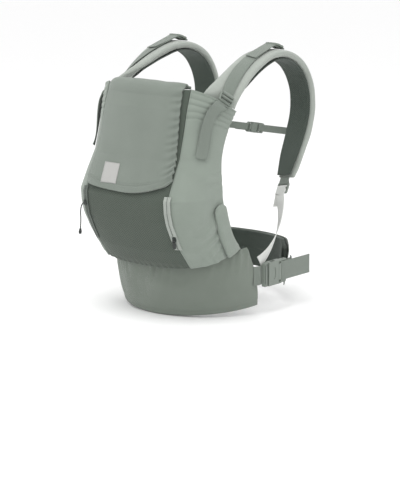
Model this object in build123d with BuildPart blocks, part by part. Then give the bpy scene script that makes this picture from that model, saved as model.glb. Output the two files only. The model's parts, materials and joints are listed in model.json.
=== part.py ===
"""Soft baby carrier, worn on the wearer's front, as an assembly of separate pieces.

Millimetres, +Z up. The origin is the middle of the waist loop at the height of the belt's front
hem. The pouch that holds the child is at -Y, the wearer's back at +Y, and the wearer's left at +X.
Pieces that come in pairs are drawn on the left and mirrored to the right.
"""

import os
from dataclasses import dataclass
from math import asin, cos, degrees, radians, sin, sqrt

from build123d import *

os.makedirs("parts", exist_ok=True)

# ---------------------------------------------------------------- driving dimensions
# Waist belt: elliptical rings of its outer face as (height, half width, half depth)
BELT_RINGS = ((-12, 163, 155), (55, 179, 168), (165, 185, 172))
BELT_COVER = 2.0
BELT_FOAM = 11.0
BELT_LINING = 1.6
PLY_GAP = 0.4  # between layers that lie on each other
BELT_HEM_BEHIND_PAD = 5.0  # the cover hangs this far below the foam
BELT_FRONT_TOP = 112.0  # height of the seam with the pouch, at the front
BELT_SIDE_TOP = 148.0
BELT_SIDE_TOP_Y = -72.0  # where the seam reaches its full height
BELT_BACK_TOP = 126.0
BELT_BACK_HEM = 52.0
NEAR_END_TOP_Y = -71.0  # the left end of the belt, by the buckle, leans forward
NEAR_END_HEM_Y = -27.0
FAR_END_Y = 88.0  # the other end, which comes right round the back
FAR_END_CORNER = 34.0

# Pouch: horizontal sections as (height, half width, front depth, squareness)
POUCH_SECTIONS = (
    (88, 150, 168, 2.2),
    (104, 152, 188, 2.3),
    (122, 154, 208, 2.4),
    (151, 157, 228, 2.8),
    (183, 159, 242, 3.3),
    (215, 159, 254, 4.0),
    (238, 159, 259, 4.3),
    (262, 159, 261, 4.3),
    (300, 157, 248, 3.6),
    (341, 153, 233, 3.0),
    (397, 150, 219, 2.8),
    (440, 149, 209, 2.7),
    (500, 149, 189, 2.5),
)
POUCH_SECTION_Y = -100.0  # where each section is widest
POUCH_REAR_Y = -55.0
POUCH_SHELL = 3.0
POUCH_LINER = 1.6
POUCH_TOP = 480.0
POUCH_TOP_SLOPE = 0.55  # the side panels' tops fall towards the shoulder straps
POUCH_TOP_CORNER_Y = -182.0
SEAM_X = 107.0  # the two seams between the front and the side panels
SEAM_GAP = 0.5
LEG_CUT_Y = 61.5  # each side's opening is part of a circle, seen from the side
LEG_CUT_Z = 288.0
LEG_CUT_RADIUS = 201.5
LEG_PAD_WIDTH = 38.0
LEG_PAD_TOP = 236.0
LEG_PAD_THICKNESS = 8.0

# Head support, folded down over the front
FLAP_THICKNESS = 5.0
FLAP_GAP = 1.0
FLAP_TOP = 486.0
FLAP_HEM = 272.0
FLAP_HEM_RISE_LEFT = 26.0  # the hem is lowest in the middle and hangs unevenly
FLAP_HEM_RISE_RIGHT = 9.0
FLAP_HALF_TOP = 95.0
FLAP_HALF_HEM = 110.0
FLAP_HINGE_Y = -171.0
NECK_ROLL_RADIUS = 5.0
NECK_ROLL_BOW = 7.0
LABEL_SIDE = 40.0
LABEL_THICKNESS = 0.8
LABEL_X = -42.0
LABEL_Z = 306.0

# Zips beside the front panel, lying on its two seams
ZIP_WIDTH = 14.0
ZIP_THICKNESS = 1.4
ZIP_TOP_Z = 272.0
ZIP_BOTTOM_Z = 158.0
ZIP_SLIDER_LEFT_Z = 183.0  # closed
ZIP_SLIDER_RIGHT_Z = 238.0  # half open
ZIP_SLIDER_GAP = 0.9
ZIP_SLIDER_LENGTH = 11.0
ZIP_SLIDER_WIDTH = 8.0
ZIP_SLIDER_HEIGHT = 4.6

PULL_CORD = 2.4
TOGGLE_RADIUS = 3.4
TOGGLE_LENGTH = 11.0

# Webbing
SHOULDER_WEBBING = 25.0
CHEST_WEBBING = 15.0
WAIST_WEBBING = 40.0
WEBBING = 1.3

# Shoulder straps: stations as (x, y, z), outward face, width, thickness
STRAP_STATIONS = (
    ((134, -127, 440), (0.93, -0.25, 0.27), 90, 6),
    ((135, -106, 464), (0.85, -0.30, 0.42), 72, 10),
    ((132, -69, 488), (0.55, -0.35, 0.76), 62, 15),
    ((129, -12, 517), (0.20, -0.28, 0.94), 64, 16),
    ((128, 50, 533), (0.02, -0.10, 1.00), 64, 16),
    ((128, 103, 526), (0.00, 0.32, 0.95), 64, 16),
    ((128, 149, 498), (0.03, 0.74, 0.67), 64, 16),
    ((128, 178, 450), (0.08, 0.96, 0.27), 64, 16),
    ((128, 182, 398), (0.10, 0.99, -0.12), 64, 16),
    ((129, 165, 350), (0.12, 0.93, -0.35), 64, 16),
    ((132, 138, 305), (0.20, 0.86, -0.47), 62, 14),
    ((134, 114, 266), (0.24, 0.84, -0.49), 48, 11),
)
STRAP_LINING = 2.4
LINING_START = 2  # the mesh on the inner face begins at this station
FRONT_LOCK_AT = 0.95  # station that carries the adjuster's anchor bar
TOP_LOCK_AT = 4.65
CHEST_STATION = 8.88  # where on the straps the chest strap sits
CHEST_BUCKLE_X = -9.0
CHEST_RAIL = 66.0

# Ladder-lock adjusters for the shoulder webbing
LOCK_BAR = 1.9
LOCK_BAR_STEP = 9.4
LOCK_RAIL = 3.4
LOCK_SIDE_GAP = 0.7
LOCK_LENGTH = 24.0
LOCK_THICKNESS = 4.0
LOOP_GAP = 0.25


@dataclass
class BuckleSize:
    """Side-release buckle: one size for the waist and one for the chest."""

    webbing: float
    width: float
    housing: float
    thickness: float
    wall: float
    skin: float
    prong: float
    shoulder: float
    ladder: float
    bar: float


WAIST_BUCKLE = BuckleSize(WAIST_WEBBING, 50, 34, 12, 3.2, 1.8, 4.0, 8, 21, 2.2)
CHEST_BUCKLE = BuckleSize(CHEST_WEBBING, 22, 14, 7.6, 1.8, 1.1, 2.4, 4.4, 12, 1.4)
BUCKLE_CLEARANCE = 0.4
WAIST_BUCKLE_PLACE = Plane(origin=(186, 10, 86), x_dir=(0, 0, -1), z_dir=(1, 0, 0))


# ---------------------------------------------------------------- writing the pieces
def save(part, label):
    """Write one piece as its own STEP file."""
    part.label = label
    export_step(part, f"parts/{label}.step")


def save_pair(part, stem):
    """Write a left-hand piece, and its mirror image as the right-hand one."""
    with BuildPart() as twin:
        mirror(part, about=Plane.YZ)
    save(part, f"{stem}_left")
    save(twin.part, f"{stem}_right")


# ---------------------------------------------------------------- waist belt
def belt_core(inset):
    """Everything inside the belt's outer face, moved in by inset."""
    with BuildPart() as core:
        for height, half_width, half_depth in BELT_RINGS:
            with BuildSketch(Plane.XY.offset(height)):
                Ellipse(half_width - inset, half_depth - inset)
        loft()
    return core.part


def belt_side_view(raised):
    """The belt's outline from the side: a rising hem, and a top that dips under the pouch."""
    front, back = -BELT_RINGS[-1][2] - 12, BELT_RINGS[-1][2] + 12
    seam_slope = (BELT_SIDE_TOP - BELT_FRONT_TOP) / (BELT_SIDE_TOP_Y + BELT_RINGS[1][2])
    front_top = BELT_FRONT_TOP - seam_slope * 12
    with BuildPart() as view:
        with BuildSketch(Plane.YZ):
            with BuildLine():
                Polyline(
                    (front, raised - 2),
                    (back, BELT_BACK_HEM + raised),
                    (back, BELT_BACK_TOP),
                    (BELT_SIDE_TOP_Y, BELT_SIDE_TOP),
                    (front, front_top),
                    close=True,
                )
            make_face()
        extrude(amount=2 * BELT_RINGS[-1][1], both=True)
    return view.part


def belt_gap(setback):
    """The open stretch on the left, between the belt's two ends."""
    reach = 2 * BELT_RINGS[-1][1]
    with BuildPart() as gap:
        with BuildSketch(Plane.YZ):
            with BuildLine():
                lean = (NEAR_END_TOP_Y - NEAR_END_HEM_Y) / BELT_SIDE_TOP
                low, high = -40.0, BELT_SIDE_TOP + 60.0
                near_low = NEAR_END_HEM_Y - setback + lean * low
                near_high = NEAR_END_HEM_Y - setback + lean * high
                Polyline(
                    (near_low, low),
                    (FAR_END_Y + setback, low),
                    (FAR_END_Y + setback, BELT_BACK_TOP - FAR_END_CORNER),
                    (FAR_END_Y + setback + 0.3 * FAR_END_CORNER, BELT_BACK_TOP - 8),
                    (FAR_END_Y + setback + FAR_END_CORNER, BELT_BACK_TOP + 2),
                    (FAR_END_Y + setback + FAR_END_CORNER, high),
                    (near_high, high),
                    close=True,
                )
            make_face()
        extrude(amount=reach)
    return gap.part


def belt_layer(outer, inner, raised, setback):
    """One ply of the belt, between two insets from its outer face."""
    with BuildPart() as layer:
        add(belt_core(outer))
        add(belt_core(inner), mode=Mode.SUBTRACT)
        add(belt_side_view(raised), mode=Mode.INTERSECT)
        add(belt_gap(setback), mode=Mode.SUBTRACT)
    return layer.part


def make_belt():
    """Cover, foam and inner mesh lining."""
    foam_face = BELT_COVER + PLY_GAP
    lining_face = foam_face + BELT_FOAM + PLY_GAP
    save(belt_layer(0, BELT_COVER, 0, 0), "belt_cover")
    save(
        belt_layer(foam_face, foam_face + BELT_FOAM, BELT_HEM_BEHIND_PAD, 2.0),
        "belt_foam",
    )
    save(
        belt_layer(lining_face, lining_face + BELT_LINING, BELT_HEM_BEHIND_PAD, 1.0),
        "belt_lining",
    )


# ---------------------------------------------------------------- pouch
def pouch_numbers(height):
    """Half width, front depth and squareness of the pouch at a height."""
    for low, high in zip(POUCH_SECTIONS, POUCH_SECTIONS[1:]):
        if height <= high[0]:
            share = (height - low[0]) / (high[0] - low[0])
            return [a + share * (b - a) for a, b in zip(low[1:], high[1:])]
    return list(POUCH_SECTIONS[-1][1:])


def pouch_front_y(x, height, inset=0.0):
    """The front face's y at a given x and height."""
    half_width, depth, square = pouch_numbers(height)
    share = abs(x) / (half_width - inset)
    reach = depth - inset + POUCH_SECTION_Y
    return POUCH_SECTION_Y - reach * (1 - share**square) ** (1 / square)


def panel_point(y, height, out):
    """A point out from the left side panel, and the way the panel faces there."""
    half_width, depth, square = pouch_numbers(height)
    reach = depth + POUCH_SECTION_Y
    share = (POUCH_SECTION_Y - y) / reach
    x = half_width * (1 - share**square) ** (1 / square)
    slope = share ** (square - 1) / reach * half_width**square / x ** (square - 1)
    face = Vector(1, -slope, 0).normalized()
    return tuple(Vector(x, y, height) + face * out), tuple(face)


def pouch_outline(half_width, depth, square, inset):
    """Half of a section, from its rear edge on the left to the middle of the front."""
    wide, reach = half_width - inset, depth - inset + POUCH_SECTION_Y
    points = [(wide, POUCH_REAR_Y), (wide, POUCH_SECTION_Y)]
    for angle in (72, 52, 34, 18):
        x = wide * sin(radians(angle)) ** (2 / square)
        y = POUCH_SECTION_Y - reach * cos(radians(angle)) ** (2 / square)
        points.append((x, y))
    return points + [(0, POUCH_SECTION_Y - reach)]


def pouch_shell(outer, inner):
    """The pouch between two insets from its outer face, open behind, above and below."""
    with BuildPart() as shell:
        for height, half_width, depth, square in POUCH_SECTIONS:
            out = pouch_outline(half_width, depth, square, outer)
            back = pouch_outline(half_width, depth, square, inner)
            out += [(-x, y) for x, y in reversed(out[:-1])]
            back += [(-x, y) for x, y in reversed(back[:-1])]
            with BuildSketch(Plane.XY.offset(height)):
                with BuildLine():
                    Spline(*out)
                    Line(out[-1], back[-1])
                    Spline(*reversed(back))
                    Line(back[0], out[0])
                make_face()
        loft()
    return shell.part


def pouch_trim(top, drop=0.0):
    """What the pouch keeps, from the side: above the belt, below the straps, before the legs."""
    seam_slope = (BELT_SIDE_TOP - BELT_FRONT_TOP) / (BELT_SIDE_TOP_Y + BELT_RINGS[1][2])
    front = -300.0
    rear = POUCH_REAR_Y
    seam_front = BELT_FRONT_TOP + seam_slope * (front + BELT_RINGS[1][2])
    seam_rear = BELT_FRONT_TOP + seam_slope * (rear + BELT_RINGS[1][2])
    fall = POUCH_TOP_SLOPE * (rear - POUCH_TOP_CORNER_Y)
    with BuildPart() as keep:
        with BuildSketch(Plane.YZ):
            with BuildLine():
                Polyline(
                    (front, seam_front + 1.0),
                    (rear, seam_rear + 1.0),
                    (rear, top - fall),
                    (POUCH_TOP_CORNER_Y, top),
                    (front, top),
                    close=True,
                )
            make_face()
            with Locations((LEG_CUT_Y, LEG_CUT_Z)):
                Circle(LEG_CUT_RADIUS + drop, mode=Mode.SUBTRACT)
        extrude(amount=250, both=True)
    return keep.part


def front_block(half_width, grow):
    """A block in front of the wearer between the two seams."""
    with BuildPart() as block:
        with BuildSketch(Plane.XY.offset(60)):
            with Locations((0, -240)):
                Rectangle(2 * (half_width + grow), 200)
        extrude(amount=460)
    return block.part


def make_pouch():
    """Front mesh panel, side panels and the inner liner."""
    shell = pouch_shell(0, POUCH_SHELL)
    with BuildPart() as mesh:
        add(shell)
        add(pouch_trim(POUCH_TOP), mode=Mode.INTERSECT)
        add(front_block(SEAM_X, -SEAM_GAP / 2), mode=Mode.INTERSECT)
    save(mesh.part, "front_mesh_panel")

    with BuildPart() as sides:
        add(shell)
        add(pouch_trim(POUCH_TOP), mode=Mode.INTERSECT)
        add(front_block(SEAM_X, SEAM_GAP / 2), mode=Mode.SUBTRACT)
    left = sides.part.solids().sort_by(Axis.X)[-1]
    with BuildPart() as side:
        add(left)
    save_pair(side.part, "side_panel")

    with BuildPart() as liner:
        add(
            pouch_shell(
                POUCH_SHELL + PLY_GAP,
                POUCH_SHELL + PLY_GAP + POUCH_LINER,
            )
        )
        add(pouch_trim(POUCH_TOP - 2, 3.0), mode=Mode.INTERSECT)
    save(liner.part, "pouch_liner")


def make_leg_pads():
    """Padded edge of each leg opening, lying on the outside of the side panel."""
    start = 180 + degrees(asin((LEG_CUT_Z - LEG_PAD_TOP) / LEG_CUT_RADIUS))
    middle = (LEG_CUT_Y, LEG_CUT_Z)
    spine = CenterArc(middle, LEG_CUT_RADIUS + LEG_PAD_WIDTH / 2, start, 60)
    with BuildPart() as pad:
        add(pouch_shell(-PLY_GAP - LEG_PAD_THICKNESS, -PLY_GAP))
        add(pouch_trim(POUCH_TOP), mode=Mode.INTERSECT)
        with BuildSketch(Plane.YZ):
            SlotArc(spine.edge(), LEG_PAD_WIDTH)
        extrude(amount=250, mode=Mode.INTERSECT)
    save_pair(pad.part.solids().sort_by(Axis.X)[-1], "leg_pad")


# ---------------------------------------------------------------- head support
def make_head_support():
    """Padded flap over the upper front, the roll it folds on, and its sewn label."""
    inner = -FLAP_GAP
    outer = -FLAP_GAP - FLAP_THICKNESS
    with BuildPart() as flap:
        add(pouch_shell(outer, inner))
        with BuildSketch(Plane.XZ.offset(100)):
            with BuildLine():
                left_hem = (FLAP_HALF_HEM, FLAP_HEM + FLAP_HEM_RISE_LEFT)
                right_hem = (-FLAP_HALF_HEM, FLAP_HEM + FLAP_HEM_RISE_RIGHT)
                Line(left_hem, (FLAP_HALF_TOP, FLAP_TOP))
                Line((FLAP_HALF_TOP, FLAP_TOP), (-FLAP_HALF_TOP, FLAP_TOP))
                Line((-FLAP_HALF_TOP, FLAP_TOP), right_hem)
                ThreePointArc(right_hem, (0, FLAP_HEM), left_hem)
            make_face()
        extrude(amount=250, mode=Mode.INTERSECT)
    save(flap.part, "head_support_flap")

    roll_z = POUCH_TOP + 0.6 + NECK_ROLL_RADIUS
    ends = FLAP_HALF_TOP - 4
    bow = FLAP_HINGE_Y - NECK_ROLL_BOW
    with BuildPart() as roll:
        with BuildLine(Plane.XY.offset(roll_z)) as path:
            ThreePointArc((-ends, FLAP_HINGE_Y), (0, bow), (ends, FLAP_HINGE_Y))
        with BuildSketch(Plane(origin=path.line @ 0, z_dir=path.line % 0)):
            Circle(NECK_ROLL_RADIUS)
        sweep()
    save(roll.part, "neck_roll")

    label_face = -FLAP_GAP - FLAP_THICKNESS - PLY_GAP
    with BuildPart() as label:
        add(pouch_shell(label_face - LABEL_THICKNESS, label_face))
        with BuildSketch(Plane.XZ.offset(100)):
            with Locations((LABEL_X, LABEL_Z)):
                RectangleRounded(LABEL_SIDE, LABEL_SIDE, 1.5)
        extrude(amount=250, mode=Mode.INTERSECT)
    save(label.part, "flap_label")


# ---------------------------------------------------------------- zips
def zip_plane(height):
    """A plane on the left zip's face: X across, Y up the zip, Z outwards."""
    skin = -PLY_GAP - ZIP_THICKNESS

    def face(x, z):
        return Vector(x, pouch_front_y(x, z, skin), z)

    across = face(SEAM_X + 3, height) - face(SEAM_X - 3, height)
    rise = face(SEAM_X, height + 6) - face(SEAM_X, height - 6)
    return Plane(origin=face(SEAM_X, height), x_dir=across, z_dir=across.cross(rise))


def make_zips():
    """Tape with its teeth, the sliders, and what hangs from them."""
    with BuildPart() as tape:
        add(pouch_shell(-PLY_GAP - ZIP_THICKNESS, -PLY_GAP))
        with BuildSketch(Plane.XZ.offset(100)):
            with Locations((SEAM_X, (ZIP_BOTTOM_Z + ZIP_TOP_Z) / 2)):
                Rectangle(ZIP_WIDTH, ZIP_TOP_Z - ZIP_BOTTOM_Z)
        extrude(amount=250, mode=Mode.INTERSECT)
    save_pair(tape.part, "zip_tape")

    for side, height in (("left", ZIP_SLIDER_LEFT_Z), ("right", ZIP_SLIDER_RIGHT_Z)):
        seat = zip_plane(height).offset(ZIP_SLIDER_GAP)
        with BuildPart() as slider:
            with BuildSketch(seat):
                RectangleRounded(ZIP_SLIDER_WIDTH, ZIP_SLIDER_LENGTH, 2.2)
            extrude(amount=ZIP_SLIDER_HEIGHT / 2)
            with BuildSketch(seat.offset(ZIP_SLIDER_HEIGHT / 2)):
                with Locations((0, 0)):
                    RectangleRounded(3.2, ZIP_SLIDER_LENGTH - 2, 1.2)
            extrude(amount=ZIP_SLIDER_HEIGHT / 2)
            with BuildSketch(Plane(seat.origin, x_dir=seat.z_dir, z_dir=seat.x_dir)):
                with Locations((ZIP_SLIDER_HEIGHT * 0.62, 0)):
                    SlotOverall(ZIP_SLIDER_LENGTH - 5.5, 1.9, rotation=90)
            extrude(amount=ZIP_SLIDER_WIDTH, both=True, mode=Mode.SUBTRACT)
        if side == "left":
            save(slider.part, "zip_slider_left")
        else:
            with BuildPart() as twin:
                mirror(slider.part, about=Plane.YZ)
            save(twin.part, "zip_slider_right")

    # Short folded pull on the left, lying along the zip
    seat = zip_plane(ZIP_SLIDER_LEFT_Z)
    start = seat.origin + seat.z_dir * (ZIP_SLIDER_GAP + ZIP_SLIDER_HEIGHT + 0.5)
    with BuildPart() as pull:
        with BuildSketch(Plane(start, x_dir=seat.x_dir, z_dir=seat.z_dir)):
            with Locations((0, -9)):
                RectangleRounded(6.5, 22, 2.5)
            with Locations((0, -2.5)):
                SlotOverall(5, 2.2, mode=Mode.SUBTRACT)
        extrude(amount=1.6)
    save(pull.part, "zip_pull_left")


def pull_cord_route():
    """The free cord on the right-hand zip: out of the slider, then down under its own weight."""
    seat = zip_plane(ZIP_SLIDER_RIGHT_Z)
    top = seat.origin + seat.z_dir * (ZIP_SLIDER_GAP + ZIP_SLIDER_HEIGHT + 0.5)
    top = Vector(-top.X, top.Y - PULL_CORD / 2, top.Z)
    return [
        top,
        top + Vector(-0.8, -5.0, -4.0),
        top + Vector(-2.0, -6.4, -18),
        top + Vector(-1.6, -5.4, -36),
        top + Vector(-2.6, -6.2, -53),
    ]


def make_pull_cord():
    """The cord and the moulded toggle at its end."""
    route = pull_cord_route()
    radii = []
    for before, corner, after in zip(route, route[1:], route[2:]):
        into, out = corner - before, after - corner
        half_turn = radians(into.get_angle(out)) / 2
        radii.append(0.45 * min(into.length, out.length) / (sin(half_turn) / cos(half_turn)))
    print("pull cord bend radii", [round(radius, 1) for radius in radii])
    with BuildPart() as cord:
        with BuildLine() as path:
            FilletPolyline(*route, radius=radii)
        with BuildSketch(Plane(origin=path.line @ 0, z_dir=path.line % 0)):
            Circle(PULL_CORD / 2)
        sweep()
    section = 3.14159 * PULL_CORD**2 / 4
    print("pull cord length", round(path.wire().length, 2))
    print("pull cord volume over section", round(cord.part.volume / section, 2))
    save(cord.part, "zip_cord_right")

    end = path.line @ 1
    down = (path.line % 1).normalized()
    with BuildPart() as toggle:
        with BuildSketch(Plane(origin=end, z_dir=down)):
            Circle(TOGGLE_RADIUS * 0.62)
        with BuildSketch(Plane(origin=end + down * TOGGLE_LENGTH * 0.62, z_dir=down)):
            Circle(TOGGLE_RADIUS)
        with BuildSketch(Plane(origin=end + down * TOGGLE_LENGTH, z_dir=down)):
            Circle(TOGGLE_RADIUS * 0.8)
        loft(ruled=True)
    save(toggle.part, "zip_toggle_right")


# ---------------------------------------------------------------- bands along a route
def unit(values):
    return Vector(*values).normalized()


def band_frames(stations):
    """One plane per station: X across the band, Y its outward face, Z along it."""
    centres = [Vector(*centre) for centre, _, _, _ in stations]
    frames = []
    for i, (_, outward, _, _) in enumerate(stations):
        before, after = centres[max(i - 1, 0)], centres[min(i + 1, len(centres) - 1)]
        along = (after - before).normalized()
        face = unit(outward)
        face = (face - along * face.dot(along)).normalized()
        frames.append(Plane(origin=centres[i], x_dir=face.cross(along), z_dir=along))
    return frames


def band(stations, rounded=0.0, frames=None):
    """Loft a flat band through stations, on their own planes or on the ones given."""
    with BuildPart() as strip:
        for frame, (_, _, width, thickness) in zip(frames or band_frames(stations), stations):
            with BuildSketch(frame):
                if rounded:
                    RectangleRounded(width, thickness, rounded * thickness)
                else:
                    Rectangle(width, thickness)
        loft()
    return strip.part


def strap_at(position):
    """Centre, outward face, width and thickness of the strap between two stations."""
    i = min(int(position), len(STRAP_STATIONS) - 2)
    share = position - i
    low, high = STRAP_STATIONS[i], STRAP_STATIONS[i + 1]

    def mix(a, b):
        return a + share * (b - a)

    centre = Vector(*[mix(a, b) for a, b in zip(low[0], high[0])])
    face = unit([mix(a, b) for a, b in zip(low[1], high[1])])
    along = (Vector(*high[0]) - Vector(*low[0])).normalized()
    face = (face - along * face.dot(along)).normalized()
    return centre, face, along, mix(low[2], high[2]), mix(low[3], high[3])


# ---------------------------------------------------------------- shoulder straps
def strap_root_trim(clearance):
    """Everything above the side panel's sloping top edge."""
    with BuildPart() as above:
        with BuildSketch(Plane.YZ):
            with BuildLine():
                rear = 260.0
                fall = POUCH_TOP_SLOPE * (-40 - POUCH_TOP_CORNER_Y)
                rise = POUCH_TOP_SLOPE * 62
                Polyline(
                    (POUCH_TOP_CORNER_Y - 62, POUCH_TOP + rise + clearance),
                    (-40, POUCH_TOP - fall + clearance),
                    (-40, 150),
                    (rear, 150),
                    (rear, 620),
                    (POUCH_TOP_CORNER_Y - 62, 620),
                    close=True,
                )
            make_face()
        extrude(amount=260)
    return above.part


def make_straps():
    """Padded straps and the mesh on their inner faces."""
    with BuildPart() as pad:
        add(band(STRAP_STATIONS, rounded=0.46))
        add(strap_root_trim(1.0), mode=Mode.INTERSECT)
    save_pair(pad.part, "shoulder_pad")

    frames = []
    lining = []
    for frame, (centre, face, width, thickness) in zip(
        band_frames(STRAP_STATIONS), STRAP_STATIONS
    ):
        drop = thickness / 2 + STRAP_LINING / 2 + 1.8
        frames.append(Plane(frame.origin - frame.y_dir * drop, frame.x_dir, frame.z_dir))
        lining.append((centre, face, width - 8, STRAP_LINING))
    lining_face = band(lining[LINING_START:], frames=frames[LINING_START:])
    save_pair(lining_face, "strap_mesh")


# ---------------------------------------------------------------- ladder locks
def make_lock(place):
    """Ladder-lock: anchor bar on the place's X axis, grip bar and lip towards +Y."""
    half = SHOULDER_WEBBING / 2 + LOCK_SIDE_GAP
    outer = 2 * (half + LOCK_RAIL)
    grip = LOCK_BAR_STEP
    with BuildPart() as lock:
        with BuildSketch(place.offset(-LOCK_THICKNESS / 2)):
            with Locations((0, LOCK_LENGTH / 2 - LOCK_BAR)):
                RectangleRounded(outer, LOCK_LENGTH, 3.6)
            with Locations((0, grip / 2 - 5)):
                Rectangle(2 * half, grip + 10, mode=Mode.SUBTRACT)
            with Locations((0, grip + 5)):
                Rectangle(2 * half, 10, mode=Mode.SUBTRACT)
        extrude(amount=LOCK_THICKNESS)
        fillet(lock.edges().filter_by(GeomType.CIRCLE), 0.9)
        across = Plane(place.origin - place.x_dir * (half + 1), place.y_dir, place.x_dir)
        with BuildSketch(across):
            Circle(LOCK_BAR)
            with Locations((grip, 0)):
                Circle(LOCK_BAR)
        extrude(amount=2 * half + 2)
        lip = place.offset(LOCK_THICKNESS / 2)
        with BuildSketch(lip):
            for row in range(3):
                with Locations((0, LOCK_LENGTH - LOCK_BAR - 1.4 - row * 1.5)):
                    SlotOverall(2 * half - 4, 0.8)
        extrude(amount=0.5)
    return lock.part


def side_profile(place, width, points, radii):
    """Webbing folded in the plane across it, as wide as the webbing."""
    across = Plane(place.origin, place.y_dir, place.x_dir)
    with BuildPart() as folded:
        with BuildSketch(across):
            with BuildLine() as run:
                FilletPolyline(*points, radius=radii)
            trace(run.line, WEBBING)
        extrude(amount=width / 2, both=True)
    return folded.part


def anchor_loop(place, width, bar, reach):
    """Webbing round an anchor bar and sewn to itself behind it."""
    inner = bar + LOOP_GAP
    outer = inner + WEBBING
    across = Plane(place.origin, place.y_dir, place.x_dir)
    with BuildSketch(across) as inside:
        Circle(inner)
        with Locations((-0.45 * reach - 1.2, -outer + 1.9 * WEBBING)):
            Circle(0.2)
        make_hull()
    with BuildPart() as loop:
        with BuildSketch(across):
            Circle(outer)
            with Locations((-0.5 * reach - 1.2, -outer + WEBBING)):
                Rectangle(1.2, 2 * WEBBING)
            make_hull()
            add(inside.sketch_local, mode=Mode.SUBTRACT)
            with Locations((-0.5 * (reach + 0.5 * reach), -outer + WEBBING)):
                Rectangle(0.5 * reach, 2 * WEBBING)
        extrude(amount=width / 2, both=True)
    return loop.part


def grip_wrap(place, width, grip, bar, load_end, tail_end, drop):
    """Webbing up round the grip bar: the load below, the free tail between it and the lip."""
    radius = bar + LOOP_GAP + WEBBING / 2
    tail_z = -drop - WEBBING / 2 - 0.2
    load_z = tail_z - WEBBING - 0.15
    return side_profile(
        place,
        width,
        [
            (load_end, load_z),
            (grip - radius, load_z),
            (grip - radius, radius),
            (grip + radius, radius),
            (grip + radius, tail_z),
            (tail_end, tail_z),
        ],
        [1.2, radius * 0.98, radius * 0.98, 1.2],
    )


def lock_levels(drop):
    """Heights of the tail's and the load's middles below a lock's own plane."""
    tail_z = -drop - WEBBING / 2 - 0.2
    return tail_z, tail_z - WEBBING - 0.15


def local(place, y, z):
    """A point of a lock's own mid-plane."""
    return place.origin + place.y_dir * y + place.z_dir * z


def tilted_lock_place(station, towards_root, lift, tilt, aside=0.0):
    """An adjuster standing off the left strap, its lip raised by a tilt, moved to the middle."""
    centre, face, along, _, thickness = strap_at(station)
    run = along * -1 if towards_root else along
    lip = run * cos(radians(tilt)) + face * sin(radians(tilt))
    out = face * cos(radians(tilt)) - run * sin(radians(tilt))
    origin = centre + face * (thickness / 2 + lift) + along.cross(face) * aside
    return Plane(origin=origin, x_dir=lip.cross(out), z_dir=out)


def front_lock_place():
    """The lower adjuster: its lip points down to the side panel."""
    return tilted_lock_place(FRONT_LOCK_AT, True, 8.0, 20, 4.0)


def top_lock_place():
    """The upper adjuster: its lip points forward, over the shoulder."""
    return tilted_lock_place(TOP_LOCK_AT, True, 8.0, 14)


def end_lock_place():
    """The adjuster at the strap's lower end: its lip points down to the belt."""
    centre, face, along, _, _ = strap_at(len(STRAP_STATIONS) - 1)
    origin = centre + along * 17
    return Plane(origin=origin, x_dir=along.cross(face), z_dir=face)


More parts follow.
